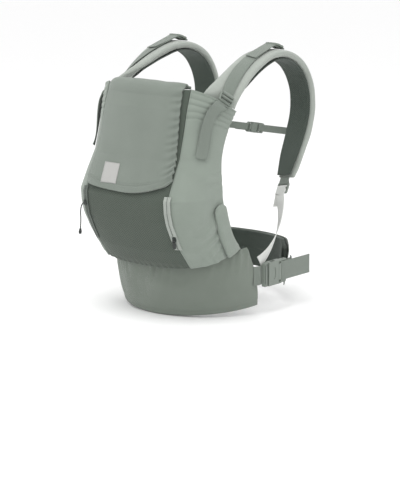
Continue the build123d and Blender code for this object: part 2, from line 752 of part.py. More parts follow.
def make_shoulder_hardware():
    """Three adjusters a side, with the webbing that runs through them."""
    front, top, end = front_lock_place(), top_lock_place(), end_lock_place()
    width = SHOULDER_WEBBING
    drop = LOCK_THICKNESS / 2
    tail_z, load_z = lock_levels(drop)
    for place, stem in ((front, "front_lock"), (top, "top_lock"), (end, "end_lock")):
        save_pair(make_lock(place), stem)

    # Webbing sewn to the side panel, up through the front adjuster, its tail hanging free
    run = 26.0
    load_start = local(front, run - 0.5, load_z)
    tail_start = local(front, run - 0.5, tail_z)
    with BuildPart() as front_webbing:
        add(grip_wrap(front, width, LOCK_BAR_STEP, LOCK_BAR, run, run, drop))
        add(
            band(
                (
                    (tuple(load_start), tuple(front.z_dir), width, WEBBING),
                    (*panel_point(-146, 441, 4.8), width, WEBBING),
                    (*panel_point(-149, 426, 3.0), width, WEBBING),
                )
            )
        )
        add(
            band(
                (
                    (tuple(tail_start), tuple(front.z_dir), width, WEBBING),
                    (*panel_point(-154, 434, 5.6), width, WEBBING),
                    (*panel_point(-170, 395, 5.0), width, WEBBING),
                    (*panel_point(-186, 345, 4.6), width, WEBBING),
                )
            )
        )
    save_pair(front_webbing.part, "front_webbing")

    # Webbing from the front adjuster's anchor bar over the shoulder to the top adjuster
    behind = 9.5
    radius = LOCK_BAR + LOOP_GAP + WEBBING / 2
    start = local(front, -behind + 0.5, -radius)
    finish = local(top, run - 0.5, load_z)
    stations = [(tuple(start), tuple(front.z_dir), width, WEBBING)]
    for position in (2.0, 3.0):
        centre, face, _, _, thickness = strap_at(position)
        above = centre + face * (thickness / 2 + 3.0)
        stations.append((tuple(above), tuple(face), width, WEBBING))
    stations.append((tuple(finish), tuple(top.z_dir), width, WEBBING))
    tail_from = local(top, run - 0.5, tail_z)
    centre, face, _, _, thickness = strap_at(3.1)
    tail_to = centre + face * (thickness / 2 + 7.0)
    with BuildPart() as over:
        add(anchor_loop(front, width, LOCK_BAR, behind))
        add(band(stations))
        add(grip_wrap(top, width, LOCK_BAR_STEP, LOCK_BAR, run, run, drop))
        add(
            band(
                (
                    (tuple(tail_from), tuple(top.z_dir), width, WEBBING),
                    (tuple(tail_to), tuple(face), width, WEBBING),
                )
            )
        )
    save_pair(over.part, "strap_webbing")

    # Loops that sew the top and end adjusters to the pad
    save_pair(anchor_loop(top, width, LOCK_BAR, 9.5), "top_anchor")
    save_pair(anchor_loop(end, width, LOCK_BAR, 13.0), "end_anchor")

    # Webbing from the belt up to the end adjuster, its tail folded below the lip. On the left it
    # reaches down to the belt's open end; on the right it is sewn to the belt's top edge.
    rise_from = local(end, run - 0.5, load_z)
    tail_from = local(end, run - 0.5, tail_z)
    tail_to = local(end, run + 26, tail_z + 3)
    upper = [
        (tuple(rise_from), tuple(end.z_dir), width, WEBBING),
        ((159, 60, 197), (0.62, 0.66, -0.40), width, WEBBING),
    ]
    to_left = [
        ((178, -8, 132), (0.92, 0.30, -0.20), width, WEBBING),
        ((178, -40, 114), (0.97, -0.15, 0.0), width, WEBBING),
    ]
    to_right = [
        ((174, 6, BELT_SIDE_TOP + 7), (0.95, 0.20, -0.20), width, WEBBING),
    ]
    for rest, stem in ((to_left, "left"), (to_right, "right")):
        with BuildPart() as lower:
            add(grip_wrap(end, width, LOCK_BAR_STEP, LOCK_BAR, run, run, drop))
            add(band(upper + rest))
            add(
                band(
                    (
                        (tuple(tail_from), tuple(end.z_dir), width, WEBBING),
                        (tuple(tail_to), tuple(end.z_dir), width, WEBBING),
                    )
                )
            )
        if stem == "right":
            with BuildPart() as twin:
                mirror(lower.part, about=Plane.YZ)
            lower = twin
        save(lower.part, f"lower_webbing_{stem}")


# ---------------------------------------------------------------- side-release buckles
def buckle_socket(place, size):
    """Housing with its mouth on the place's XZ plane, and a webbing bar behind it."""
    half, deep = size.width / 2, size.thickness / 2
    bar_y = -size.housing - 9.0
    with BuildPart() as socket:
        with BuildSketch(place.offset(-deep)):
            with Locations((0, -size.housing / 2)):
                Rectangle(size.width, size.housing)
        extrude(amount=size.thickness)
        with BuildSketch(place.offset(-deep + size.skin)):
            with Locations((0, -size.housing / 2 + size.wall / 2)):
                Rectangle(size.width - 2 * size.wall, size.housing - size.wall)
            with Locations((0, -size.housing / 2)):
                Rectangle(size.width, size.housing * 0.42)
        extrude(amount=size.thickness - 2 * size.skin, mode=Mode.SUBTRACT)
        with BuildSketch(place.offset(-deep * 0.55)):
            with Locations((0, -size.housing - 6)):
                RectangleRounded(size.width, 14, 3)
            with Locations((0, -size.housing - 3.6)):
                Rectangle(size.webbing + 1.6, 5.4, mode=Mode.SUBTRACT)
        extrude(amount=deep * 1.1)
        with BuildSketch(place.offset(deep)):
            with Locations((0, -size.housing * 0.5)):
                SlotOverall(size.width * 0.5, size.housing * 0.34)
        extrude(amount=-size.skin * 0.45, mode=Mode.SUBTRACT)
    return socket.part, bar_y


def buckle_plug(place, size):
    """Shoulder, guide blade and ladder section of the buckle's other half."""
    half, deep = size.width / 2, size.thickness / 2
    start, shoulder = BUCKLE_CLEARANCE, size.shoulder
    grip_y = start + shoulder + 6.6
    end_y = start + shoulder + size.ladder
    with BuildPart() as plug:
        with BuildSketch(place.offset(-deep)):
            with Locations((0, start + shoulder / 2)):
                Rectangle(size.width, shoulder)
        extrude(amount=size.thickness)
        inner = deep - size.skin - BUCKLE_CLEARANCE
        blade = size.housing - size.wall - 3
        with BuildSketch(place.offset(-inner)):
            with Locations((0, start - blade / 2)):
                Rectangle(size.width * 0.2, blade)
        extrude(amount=2 * inner)
        with BuildSketch(place.offset(-deep * 0.45)):
            with Locations((0, start + shoulder + size.ladder / 2 - 1)):
                RectangleRounded(size.width, size.ladder + 2, 3)
            with Locations((0, start + shoulder + (size.ladder - 3.6) / 2)):
                Rectangle(size.webbing + 1.6, size.ladder - 3.6, mode=Mode.SUBTRACT)
        extrude(amount=deep * 0.9)
        across = Plane(local(place, grip_y, 0) - place.x_dir * half, place.y_dir, place.x_dir)
        with BuildSketch(across):
            Circle(size.bar)
        extrude(amount=size.width)
        for side in (-1, 1):
            seat = prong_pivot(place, size, side)
            with BuildSketch(Plane(seat - place.z_dir * size.thickness, place.x_dir, place.z_dir)):
                Circle(size.prong / 2 + 0.35)
                with Locations((0, -shoulder / 2)):
                    Rectangle(size.prong + 0.9, shoulder)
            extrude(amount=2 * size.thickness, mode=Mode.SUBTRACT)
    return plug.part, grip_y, end_y


def prong_pivot(place, size, side):
    """The middle of a prong's rounded root."""
    x = side * (size.width / 2 - size.wall - BUCKLE_CLEARANCE - size.prong / 2)
    return local(place, BUCKLE_CLEARANCE + size.shoulder * 0.5, 0) + place.x_dir * x


def buckle_prong(place, size, side):
    """A springy arm with its press pad, rounded at the root."""
    seat = prong_pivot(place, size, side)
    inner = size.thickness / 2 - size.skin - BUCKLE_CLEARANCE
    arm = size.housing - size.wall - 3 + size.shoulder * 0.5
    pad = size.housing * 0.34
    pad_from = size.housing * 0.5 + BUCKLE_CLEARANCE + size.shoulder * 0.5 - pad / 2
    with BuildPart() as prong:
        with BuildSketch(Plane(seat - place.z_dir * inner, place.x_dir, place.z_dir)):
            Circle(size.prong / 2)
            with Locations((side * size.prong * 0.12, -arm / 2)):
                Rectangle(size.prong * 0.76, arm)
            with Locations((-side * size.prong * 0.15, -pad_from - pad / 2)):
                Rectangle(size.prong * 1.3, pad)
        extrude(amount=2 * inner)
    return prong.part


def buckle_tail(place, size, grip_y, tail_end):
    """Webbing round the plug's grip bar, and its free tail outside the load."""
    radius = size.bar + LOOP_GAP + WEBBING / 2
    level = max(radius, size.thickness * 0.225 + WEBBING / 2)
    clear_y = BUCKLE_CLEARANCE + size.shoulder + size.ladder - 5
    return side_profile(
        place,
        size.webbing,
        [
            (grip_y - radius, -radius - 0.4),
            (grip_y - radius, radius),
            (clear_y, level + 0.4),
            (tail_end, level + 0.8),
        ],
        [radius * 0.98, 4.0],
    )


def make_waist_buckle():
    """Socket on the belt's left end, and the plug that the far end's webbing feeds."""
    place, size = WAIST_BUCKLE_PLACE, WAIST_BUCKLE
    socket, bar_y = buckle_socket(place, size)
    save(socket, "waist_socket")
    plug, grip_y, end_y = buckle_plug(place, size)
    save(plug, "waist_plug")
    save(buckle_prong(place, size, 1), "waist_prong_lower")
    save(buckle_prong(place, size, -1), "waist_prong_upper")
    save(buckle_tail(place, size, grip_y, 111), "waist_tail")

    with BuildPart() as anchor:
        slot_y = -size.housing - 4.4
        path = [(bar_y - 1.2, 4.5), (slot_y, 4.5), (slot_y, -4.5), (bar_y - 14, -4.5)]
        add(side_profile(place, size.webbing, path + [(bar_y - 24, -9.4)], [1.5, 1.5, 6]))
    save(anchor.part, "waist_anchor")

    radius = size.bar + LOOP_GAP + WEBBING / 2
    with BuildPart() as feed:
        add(
            side_profile(
                place,
                size.webbing,
                [
                    (grip_y - radius + 1.0, -radius - 1.6),
                    (FAR_END_Y - 40, -radius - 1.6),
                    (FAR_END_Y - 22, -radius - 6),
                    (FAR_END_Y - 12, -radius - 17),
                ],
                [14, 14],
            )
        )
    save(feed.part, "waist_feed")


# ---------------------------------------------------------------- chest strap
CHEST_RISE = 6.5  # from the clips' seats out to the middle of the buckle


def chest_seat():
    """Where the left clip sits on its strap: X down the strap, Y to the middle, Z outwards."""
    centre, face, along, width, thickness = strap_at(CHEST_STATION)
    face = unit((0, face.Y, face.Z))
    along = unit((0, along.Y, along.Z))
    origin = centre + face * (thickness / 2 + 7.0) - Vector(width / 2 - 11, 0, 0)
    return Plane(origin=origin, x_dir=along, z_dir=face)


def chest_place():
    """The chest buckle's own frame: its plug slides towards the wearer's right."""
    seat = chest_seat()
    middle = seat.origin + seat.z_dir * CHEST_RISE
    return Plane((CHEST_BUCKLE_X, middle.Y, middle.Z), seat.x_dir, seat.z_dir)


def make_chest_strap():
    """Buckle at the wearer's back, webbing to both straps, and the clips that slide on them."""
    place, size, seat = chest_place(), CHEST_BUCKLE, chest_seat()
    socket, bar_y = buckle_socket(place, size)
    save(socket, "chest_socket")
    plug, grip_y, _ = buckle_plug(place, size)
    save(plug, "chest_plug")
    save(buckle_prong(place, size, 1), "chest_prong_lower")
    save(buckle_prong(place, size, -1), "chest_prong_upper")
    save(buckle_tail(place, size, grip_y, 48), "chest_tail")

    slot = 5.2
    with BuildPart() as clip:
        with BuildSketch(seat.offset(-1.2)):
            RectangleRounded(24, 20, 3)
            with Locations((0, slot)):
                Rectangle(CHEST_WEBBING + 1.4, 3.6, mode=Mode.SUBTRACT)
        extrude(amount=3.4)
        with BuildSketch(seat.offset(-1.2)):
            with Locations((0, -3.4)):
                Rectangle(30, 8.4)
        extrude(amount=2.0, mode=Mode.SUBTRACT)
    save_pair(clip.part, "chest_clip")
    with BuildPart() as rail:
        with BuildSketch(seat.offset(-1.0)):
            with Locations((0, -3.4)):
                SlotOverall(CHEST_RAIL, 7.6)
        extrude(amount=1.6)
    save_pair(rail.part, "chest_rail")

    slot_x = seat.origin.X - slot
    left_y, right_y = -(slot_x - CHEST_BUCKLE_X), slot_x + CHEST_BUCKLE_X
    foot = -CHEST_RISE - 1.0
    socket_slot = -size.housing - 4.4
    with BuildPart() as left_web:
        path = [(bar_y - 1.0, 3.1), (socket_slot, 3.1), (socket_slot, -3.1)]
        path += [(left_y, -3.1), (left_y, foot)]
        add(side_profile(place, size.webbing, path, [1.4, 1.4, 1.4]))
    save(left_web.part, "chest_webbing_left")
    radius = size.bar + LOOP_GAP + WEBBING / 2
    with BuildPart() as right_web:
        path = [(grip_y - radius + 0.7, -radius - 1.5), (right_y, -radius - 1.5), (right_y, foot)]
        add(side_profile(place, size.webbing, path, [1.4]))
    save(right_web.part, "chest_webbing_right")


# ---------------------------------------------------------------- the whole carrier
make_belt()
make_pouch()
make_leg_pads()
make_head_support()
make_zips()
make_pull_cord()
make_straps()
make_shoulder_hardware()
make_waist_buckle()
make_chest_strap()
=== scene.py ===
# %% [markdown]
# # A soft baby carrier
# The carrier is a padded waist belt, a pouch, a fold-over head support and two padded straps.
# Every length below is in millimetres until it is turned into Blender's metres by `mm`.
# The hard pieces (buckles, adjusters, sliders) come from the CAD frame and only get a finish here.

# %% Load the frame
import json
import math

import bmesh
import bpy
import numpy as np
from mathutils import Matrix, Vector, noise


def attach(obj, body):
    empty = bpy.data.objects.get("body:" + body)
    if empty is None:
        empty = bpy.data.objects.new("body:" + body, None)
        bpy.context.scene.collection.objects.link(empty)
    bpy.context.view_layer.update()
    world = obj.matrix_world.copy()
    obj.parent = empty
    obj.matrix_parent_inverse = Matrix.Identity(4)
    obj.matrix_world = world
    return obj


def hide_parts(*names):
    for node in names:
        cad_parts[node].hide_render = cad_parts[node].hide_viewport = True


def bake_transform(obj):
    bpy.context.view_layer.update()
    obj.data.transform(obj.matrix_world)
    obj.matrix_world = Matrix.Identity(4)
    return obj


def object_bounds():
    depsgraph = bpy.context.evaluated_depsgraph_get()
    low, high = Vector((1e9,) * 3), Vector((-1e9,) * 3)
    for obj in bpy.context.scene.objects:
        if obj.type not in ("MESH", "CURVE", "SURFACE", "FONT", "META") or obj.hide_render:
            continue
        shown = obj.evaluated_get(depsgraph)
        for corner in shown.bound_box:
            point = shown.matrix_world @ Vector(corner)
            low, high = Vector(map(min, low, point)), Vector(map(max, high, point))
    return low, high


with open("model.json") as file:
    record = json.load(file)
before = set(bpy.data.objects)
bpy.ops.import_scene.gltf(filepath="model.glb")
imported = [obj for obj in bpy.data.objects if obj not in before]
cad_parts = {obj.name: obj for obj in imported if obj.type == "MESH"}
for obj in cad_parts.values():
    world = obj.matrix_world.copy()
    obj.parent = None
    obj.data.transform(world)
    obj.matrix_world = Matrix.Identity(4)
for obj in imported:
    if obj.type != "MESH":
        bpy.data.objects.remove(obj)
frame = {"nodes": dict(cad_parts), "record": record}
cad_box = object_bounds()
joints = {joint["name"]: joint for joint in frame["record"]["behaviour"]["joints"]}
print("CAD box", cad_box)


# %% [markdown]
# ## Camera and light
# The camera stands a little to the wearer's left and above, far away with a long lens, so the carrier
# looks almost flat. The light is one broad soft key and two weak fills.

# %% Camera
def mm(*values):
    return Vector(values) * 0.001


def direction(azimuth, elevation):
    a, e = math.radians(azimuth), math.radians(elevation)
    return Vector((math.sin(a) * math.cos(e), -math.cos(a) * math.cos(e), math.sin(e)))


aim = mm(0, -20, 270)
camera_data = bpy.data.cameras.new("camera")
camera_data.lens = 171.43
camera_data.shift_x = 0.0057
camera_data.shift_y = -0.147
camera = bpy.data.objects.new("camera", camera_data)
bpy.context.collection.objects.link(camera)
back = direction(38, 10)
camera.location = aim + back * 5.0
camera.rotation_euler = back.to_track_quat("Z", "Y").to_euler()
bpy.context.scene.camera = camera


# %% Lights and floor
def area_light(name, azimuth, elevation, size, power):
    light = bpy.data.lights.new(name, "AREA")
    light.size = size
    light.energy = power
    lamp = bpy.data.objects.new(name, light)
    bpy.context.collection.objects.link(lamp)
    away = direction(azimuth, elevation)
    lamp.location = mm(0, 0, 250) + away * 2.2
    lamp.rotation_euler = away.to_track_quat("Z", "Y").to_euler()


area_light("key_light", 8, 66, 1.5, 24)
area_light("side_fill", 100, 25, 1.8, 5)
area_light("far_fill", -100, 20, 1.8, 4)
world = bpy.data.worlds.new("studio")
bpy.context.scene.world = world
world.use_nodes = True
world.node_tree.nodes["Background"].inputs["Color"].default_value = (1, 1, 1, 1)
world.node_tree.nodes["Background"].inputs["Strength"].default_value = 1.0
bpy.context.scene.view_settings.view_transform = "Standard"

low = cad_box[0][2]
floor_mesh = bpy.data.meshes.new("studio_floor")
floor_mesh.from_pydata(
    [(-6, -6, low - 0.001), (6, -6, low - 0.001), (6, 6, low - 0.001), (-6, 6, low - 0.001)],
    [],
    [(0, 1, 2, 3)],
)
floor_paint = bpy.data.materials.new("studio_paint")
floor_paint.use_nodes = True
floor_paint.node_tree.nodes["Principled BSDF"].inputs["Base Color"].default_value = (0.97, 0.97, 0.97, 1)
floor_paint.node_tree.nodes["Principled BSDF"].inputs["Roughness"].default_value = 0.9
floor_mesh.materials.append(floor_paint)
floor = bpy.data.objects.new("studio_floor", floor_mesh)
bpy.context.collection.objects.link(floor)


# %% [markdown]
# ## Finishes
# Cloth looks like cloth because of its weave, so one node group draws a plain weave and another the
# open holes of spacer mesh; the holes get a darker colour that is partly the inner layer and partly
# painted shade inside them. Both read a UV map named `cloth` that every piece gets, measured in metres,
# so a thread has the same size on every piece. A third group adds the uneven shade of worn fabric.

# %% Node groups
def new_group(name, inputs, outputs):
    tree = bpy.data.node_groups.new(name, "ShaderNodeTree")
    for label, kind, value in inputs:
        socket = tree.interface.new_socket(label, in_out="INPUT", socket_type=kind)
        if value is not None:
            socket.default_value = value
    for label, kind in outputs:
        tree.interface.new_socket(label, in_out="OUTPUT", socket_type=kind)
    return tree, tree.nodes.new("NodeGroupInput"), tree.nodes.new("NodeGroupOutput")


def math_node(tree, operation, first, second=0.0):
    node = tree.nodes.new("ShaderNodeMath")
    node.operation = operation
    for socket, value in zip(node.inputs, (first, second)):
        if isinstance(value, (int, float)):
            socket.default_value = value
        else:
            tree.links.new(value, socket)
    return node.outputs[0]


def cloth_axes(tree, vector, pitch):
    split = tree.nodes.new("ShaderNodeSeparateXYZ")
    tree.links.new(vector, split.inputs[0])
    across = math_node(tree, "DIVIDE", split.outputs[0], pitch)
    along = math_node(tree, "DIVIDE", split.outputs[1], pitch)
    return across, along


def thread_humps(tree, position):
    """One round hump for each thread along a direction."""
    wave = math_node(tree, "SINE", math_node(tree, "MULTIPLY", position, math.pi))
    return math_node(tree, "ABSOLUTE", wave)


plain_weave, give, take = new_group(
    "plain_weave",
    [("Cloth", "NodeSocketVector", None), ("Thread", "NodeSocketFloat", 0.0009)],
    [("Height", "NodeSocketFloat")],
)
across, along = cloth_axes(plain_weave, give.outputs["Cloth"], give.outputs["Thread"])
warp = thread_humps(plain_weave, across)
weft = thread_humps(plain_weave, along)
cell = math_node(
    plain_weave,
    "ADD",
    math_node(plain_weave, "FLOOR", across),
    math_node(plain_weave, "FLOOR", along),
)
over = math_node(plain_weave, "MODULO", math_node(plain_weave, "ABSOLUTE", cell), 2.0)
under = math_node(plain_weave, "SUBTRACT", 1.0, over)
height = math_node(
    plain_weave,
    "ADD",
    math_node(plain_weave, "MULTIPLY", warp, over),
    math_node(plain_weave, "MULTIPLY", weft, under),
)
plain_weave.links.new(height, take.inputs["Height"])

mesh_holes, give, take = new_group(
    "mesh_holes",
    [
        ("Cloth", "NodeSocketVector", None),
        ("Pitch", "NodeSocketFloat", 0.004),
        ("Hole", "NodeSocketFloat", 0.3),
    ],
    [("Hole", "NodeSocketFloat"), ("Height", "NodeSocketFloat")],
)
across, along = cloth_axes(mesh_holes, give.outputs["Cloth"], give.outputs["Pitch"])
diagonal = mesh_holes.nodes.new("ShaderNodeCombineXYZ")
mesh_holes.links.new(math_node(mesh_holes, "ADD", across, along), diagonal.inputs[0])
mesh_holes.links.new(math_node(mesh_holes, "SUBTRACT", across, along), diagonal.inputs[1])
cells = mesh_holes.nodes.new("ShaderNodeTexVoronoi")
cells.voronoi_dimensions = "2D"
cells.inputs["Scale"].default_value = 1.0
cells.inputs["Randomness"].default_value = 0.0
mesh_holes.links.new(diagonal.outputs[0], cells.inputs["Vector"])
rim = mesh_holes.nodes.new("ShaderNodeMapRange")
rim.interpolation_type = "SMOOTHSTEP"
mesh_holes.links.new(cells.outputs["Distance"], rim.inputs["Value"])
mesh_holes.links.new(math_node(mesh_holes, "SUBTRACT", give.outputs["Hole"], 0.07), rim.inputs["From Min"])
mesh_holes.links.new(math_node(mesh_holes, "ADD", give.outputs["Hole"], 0.07), rim.inputs["From Max"])
mesh_holes.links.new(rim.outputs[0], take.inputs["Height"])
mesh_holes.links.new(math_node(mesh_holes, "SUBTRACT", 1.0, rim.outputs[0]), take.inputs["Hole"])

worn_shade, give, take = new_group(
    "worn_shade",
    [
        ("Colour", "NodeSocketColor", None),
        ("Amount", "NodeSocketFloat", 0.2),
        ("Roughness", "NodeSocketFloat", 0.9),
    ],
    [("Colour", "NodeSocketColor"), ("Roughness", "NodeSocketFloat")],
)
place = worn_shade.nodes.new("ShaderNodeTexCoord")
patches = worn_shade.nodes.new("ShaderNodeTexNoise")
patches.inputs["Scale"].default_value = 26.0
patches.inputs["Detail"].default_value = 6.0
worn_shade.links.new(place.outputs["Object"], patches.inputs["Vector"])
swing = math_node(worn_shade, "SUBTRACT", patches.outputs[0], 0.5)
lift = math_node(worn_shade, "MULTIPLY", swing, give.outputs["Amount"])
shade = worn_shade.nodes.new("ShaderNodeHueSaturation")
worn_shade.links.new(give.outputs["Colour"], shade.inputs["Color"])
worn_shade.links.new(math_node(worn_shade, "ADD", lift, 1.0), shade.inputs["Value"])
worn_shade.links.new(shade.outputs[0], take.inputs["Colour"])
half_lift = math_node(worn_shade, "MULTIPLY", lift, 0.5)
worn_roughness = math_node(worn_shade, "ADD", half_lift, give.outputs["Roughness"])
worn_shade.links.new(worn_roughness, take.inputs["Roughness"])


# %% [markdown]
# Each finish is a material of its own, with a Principled shader that takes colour, roughness and a bump
# from the groups. The colours are written as the eye sees them and turned into linear light.

# %% Materials
def linear(red, green, blue):
    def channel(value):
        value /= 255
        return value / 12.92 if value <= 0.04045 else ((value + 0.055) / 1.055) ** 2.4

    return (channel(red), channel(green), channel(blue), 1.0)


def new_finish(name, colour, roughness, variation, sheen=0.0):
    material = bpy.data.materials.new(name)
    material.use_nodes = True
    tree = material.node_tree
    shader = tree.nodes["Principled BSDF"]
    shader.inputs["Sheen Weight"].default_value = sheen
    shader.inputs["Sheen Roughness"].default_value = 0.5
    shader.inputs["Specular IOR Level"].default_value = 0.25
    worn = tree.nodes.new("ShaderNodeGroup")
    worn.node_tree = worn_shade
    worn.inputs["Colour"].default_value = linear(*colour)
    worn.inputs["Amount"].default_value = variation
    worn.inputs["Roughness"].default_value = roughness
    tree.links.new(worn.outputs["Colour"], shader.inputs["Base Color"])
    tree.links.new(worn.outputs["Roughness"], shader.inputs["Roughness"])
    cloth = tree.nodes.new("ShaderNodeUVMap")
    cloth.uv_map = "cloth"
    return material, tree, shader, worn, cloth


def add_bump(tree, shader, height, distance, strength=0.6):
    bump = tree.nodes.new("ShaderNodeBump")
    bump.inputs["Strength"].default_value = strength
    bump.inputs["Distance"].default_value = distance
    tree.links.new(height, bump.inputs["Height"])
    tree.links.new(bump.outputs["Normal"], shader.inputs["Normal"])


def woven_finish(name, colour, thread=0.0009, variation=0.16):
    material, tree, shader, worn, cloth = new_finish(name, colour, 0.88, variation, sheen=0.25)
    weave = tree.nodes.new("ShaderNodeGroup")
    weave.node_tree = plain_weave
    weave.inputs["Thread"].default_value = thread
    tree.links.new(cloth.outputs[0], weave.inputs["Cloth"])
    add_bump(tree, shader, weave.outputs["Height"], thread * 0.35)
    return material


# The holes take a darker colour: partly the inner layer seen through them and partly painted shade inside
# each hole.
def mesh_finish(name, yarn, hole_shade_colour, pitch, hole, variation=0.12):
    material, tree, shader, worn, cloth = new_finish(name, yarn, 0.85, variation, sheen=0.15)
    holes = tree.nodes.new("ShaderNodeGroup")
    holes.node_tree = mesh_holes
    holes.inputs["Pitch"].default_value = pitch
    holes.inputs["Hole"].default_value = hole
    tree.links.new(cloth.outputs[0], holes.inputs["Cloth"])
    mix = tree.nodes.new("ShaderNodeMix")
    mix.data_type = "RGBA"
    tree.links.new(holes.outputs["Hole"], mix.inputs["Factor"])
    tree.links.new(worn.outputs["Colour"], mix.inputs["A"])
    mix.inputs["B"].default_value = linear(*hole_shade_colour)
    tree.links.new(mix.outputs["Result"], shader.inputs["Base Color"])
    add_bump(tree, shader, holes.outputs["Height"], pitch * 0.28, 0.8)
    return material


def plastic_finish(name, colour, roughness=0.42):
    material, tree, shader, worn, cloth = new_finish(name, colour, roughness, 0.08)
    shader.inputs["Specular IOR Level"].default_value = 0.5
    place = tree.nodes.new("ShaderNodeTexCoord")
    grain = tree.nodes.new("ShaderNodeTexNoise")
    grain.inputs["Scale"].default_value = 2200.0
    grain.inputs["Detail"].default_value = 2.0
    tree.links.new(place.outputs["Object"], grain.inputs["Vector"])
    add_bump(tree, shader, grain.outputs[0], 0.0001, 0.35)
    return material


sage_cloth = woven_finish("sage_cloth", (134, 143, 134))
belt_cloth = woven_finish("belt_cloth", (119, 127, 118))
flap_cloth = woven_finish("flap_cloth", (119, 127, 119))
# The straps' cloth is the sage fabric made lighter: painted light for the lit tops of the straps.
sage_cloth_lit = woven_finish("sage_cloth_lit", (158, 164, 157))
# The lining colour is also painted shade on the far zip tape.
lining_and_shade_cloth = woven_finish("lining_and_shade_cloth", (84, 92, 85))
# The second colour of each mesh is for its holes: partly the inner layer and partly painted shade.
front_mesh = mesh_finish("front_mesh", (83, 92, 83), (38, 44, 38), 0.0048, 0.27)
inner_mesh = mesh_finish("inner_mesh", (80, 90, 82), (40, 48, 43), 0.0044, 0.3)
sage_webbing = woven_finish("sage_webbing", (118, 126, 118), thread=0.0021, variation=0.1)
pale_webbing = woven_finish("pale_webbing", (214, 216, 212), thread=0.0019, variation=0.06)
sewing_thread = woven_finish("sewing_thread", (104, 112, 104), thread=0.0004, variation=0.05)
label_cloth = woven_finish("label_cloth", (172, 172, 169), thread=0.0007, variation=0.06)
moulded_plastic = plastic_finish("moulded_plastic", (116, 124, 116))
dark_plastic = plastic_finish("dark_plastic", (38, 42, 40), 0.5)
zip_teeth_finish = plastic_finish("zip_teeth_finish", (58, 64, 60), 0.45)
cord_finish = woven_finish("cord_finish", (38, 42, 40), thread=0.0011, variation=0.1)


# %% [markdown]
# ## Helpers for cloth
# A sewn panel is a grid: one direction runs across the cloth and the other along it. Building the
# grid from a rule keeps the faces even, so gathers and stitch lines can be pushed into it, and its
# UV map can be laid out in real lengths. Solidify then gives it the thickness of the fabric.

# %% Panels
def smooth(mesh):
    mesh.polygons.foreach_set("use_smooth", [True] * len(mesh.polygons))


def bake(piece):
    """Replace a piece's mesh with what its modifiers make of it."""
    graph = bpy.context.evaluated_depsgraph_get()
    made = bpy.data.meshes.new_from_object(piece.evaluated_get(graph))
    piece.modifiers.clear()
    piece.data = made
    return piece


def add_object(name, mesh):
    piece = bpy.data.objects.new(name, mesh)
    bpy.context.collection.objects.link(piece)
    return piece


def panel(name, rule, across, along, thickness, finish, facing):
    """A cloth panel through rule(u, v), in millimetres. facing is 1 for cloth that looks away from the
    carrier's middle, -1 for cloth that looks in at it, and 0 for the inner faces of the straps."""
    rows = [[rule(i / across, j / along) for i in range(across + 1)] for j in range(along + 1)]
    points = np.array(rows) * 0.001
    columns = across + 1
    faces = []
    for j in range(along):
        for i in range(across):
            corner = j * columns + i
            faces.append((corner, corner + 1, corner + columns + 1, corner + columns))
    middle = points[along // 2, across // 2]
    side = points[along // 2, across // 2 + 1] - middle
    up = points[along // 2 + 1, across // 2] - middle
    away = middle - np.array([0.0, -0.04, middle[2]]) if facing else np.array([0.0, 0.06, 0.35]) - middle
    if np.dot(np.cross(side, up), away) * (facing or 1) < 0:
        faces = [face[::-1] for face in faces]
    mesh = bpy.data.meshes.new(name)
    mesh.from_pydata([tuple(point) for point in points.reshape(-1, 3)], [], faces)
    widths = np.zeros(points.shape[:2])
    widths[:, 1:] = np.cumsum(np.linalg.norm(np.diff(points, axis=1), axis=2), axis=1)
    heights = np.zeros(points.shape[:2])
    heights[1:, :] = np.cumsum(np.linalg.norm(np.diff(points, axis=0), axis=2), axis=0)
    cloth = mesh.uv_layers.new(name="cloth")
    flat = np.stack([widths.reshape(-1), heights.reshape(-1)], axis=1)
    order = np.zeros(len(mesh.loops), dtype=np.int32)
    mesh.loops.foreach_get("vertex_index", order)
    cloth.data.foreach_set("uv", flat[order].astype(np.float32).reshape(-1))
    smooth(mesh)
    piece = add_object(name, mesh)
    mesh.materials.append(finish)
    wall = piece.modifiers.new("thickness", "SOLIDIFY")
    wall.thickness = thickness * 0.001
    wall.offset = -1.0
    size = (float(widths[:, -1].mean()), float(heights[-1, :].mean()))
    area = min(sum(polygon.area for polygon in mesh.polygons), size[0] * size[1])
    bake(piece)
    return piece, size, area


def crease(value, centre, width):
    """A soft bump of height 1 at centre."""
    return math.exp(-(((value - centre) / width) ** 2))


def ripple(x, y, z, scale):
    """Smooth uneven noise between about -1 and 1, the same on every run."""
    return noise.noise(Vector((x, y, z)) * scale)


# %% [markdown]
# ## Helpers for padding and webbing
# A padded strap starts from the CAD solid's shape. It is remeshed into even quads, filled with air
# pressure by Blender's Cloth, and held close to where it began so it keeps clear of its neighbours.
# Webbing is too thin for a remesh, so its bands are taken as they are and only get a weave.

# %% Padding
def box_uv(mesh, width_axis=None):
    """Lay the UV map flat on each face, with one axis along width_axis where there is one."""
    cloth = mesh.uv_layers.get("cloth") or mesh.uv_layers.new(name="cloth")
    for polygon in mesh.polygons:
        normal = polygon.normal
        if width_axis is not None:
            side = Vector(width_axis)
        elif abs(normal.z) > 0.72:
            side = Vector((1, 0, 0))
        else:
            side = Vector((0, 0, 1))
        side = side - normal * side.dot(normal)
        if side.length < 1e-4:
            side = normal.orthogonal()
        side.normalize()
        other = normal.cross(side)
        for loop in polygon.loop_indices:
            point = mesh.vertices[mesh.loops[loop].vertex_index].co
            cloth.data[loop].uv = (point.dot(side), point.dot(other))


def merged_copy(name, node):
    """A copy of a CAD node's mesh with its loose triangles joined up."""
    mesh = frame["nodes"][node].data.copy()
    mesh.name = name
    mesh.materials.clear()
    work = bmesh.new()
    work.from_mesh(mesh)
    bmesh.ops.remove_doubles(work, verts=work.verts, dist=2e-6)
    bmesh.ops.recalc_face_normals(work, faces=work.faces)
    work.to_mesh(mesh)
    work.free()
    for layer in list(mesh.uv_layers):
        mesh.uv_layers.remove(layer)
    return add_object(name, mesh)


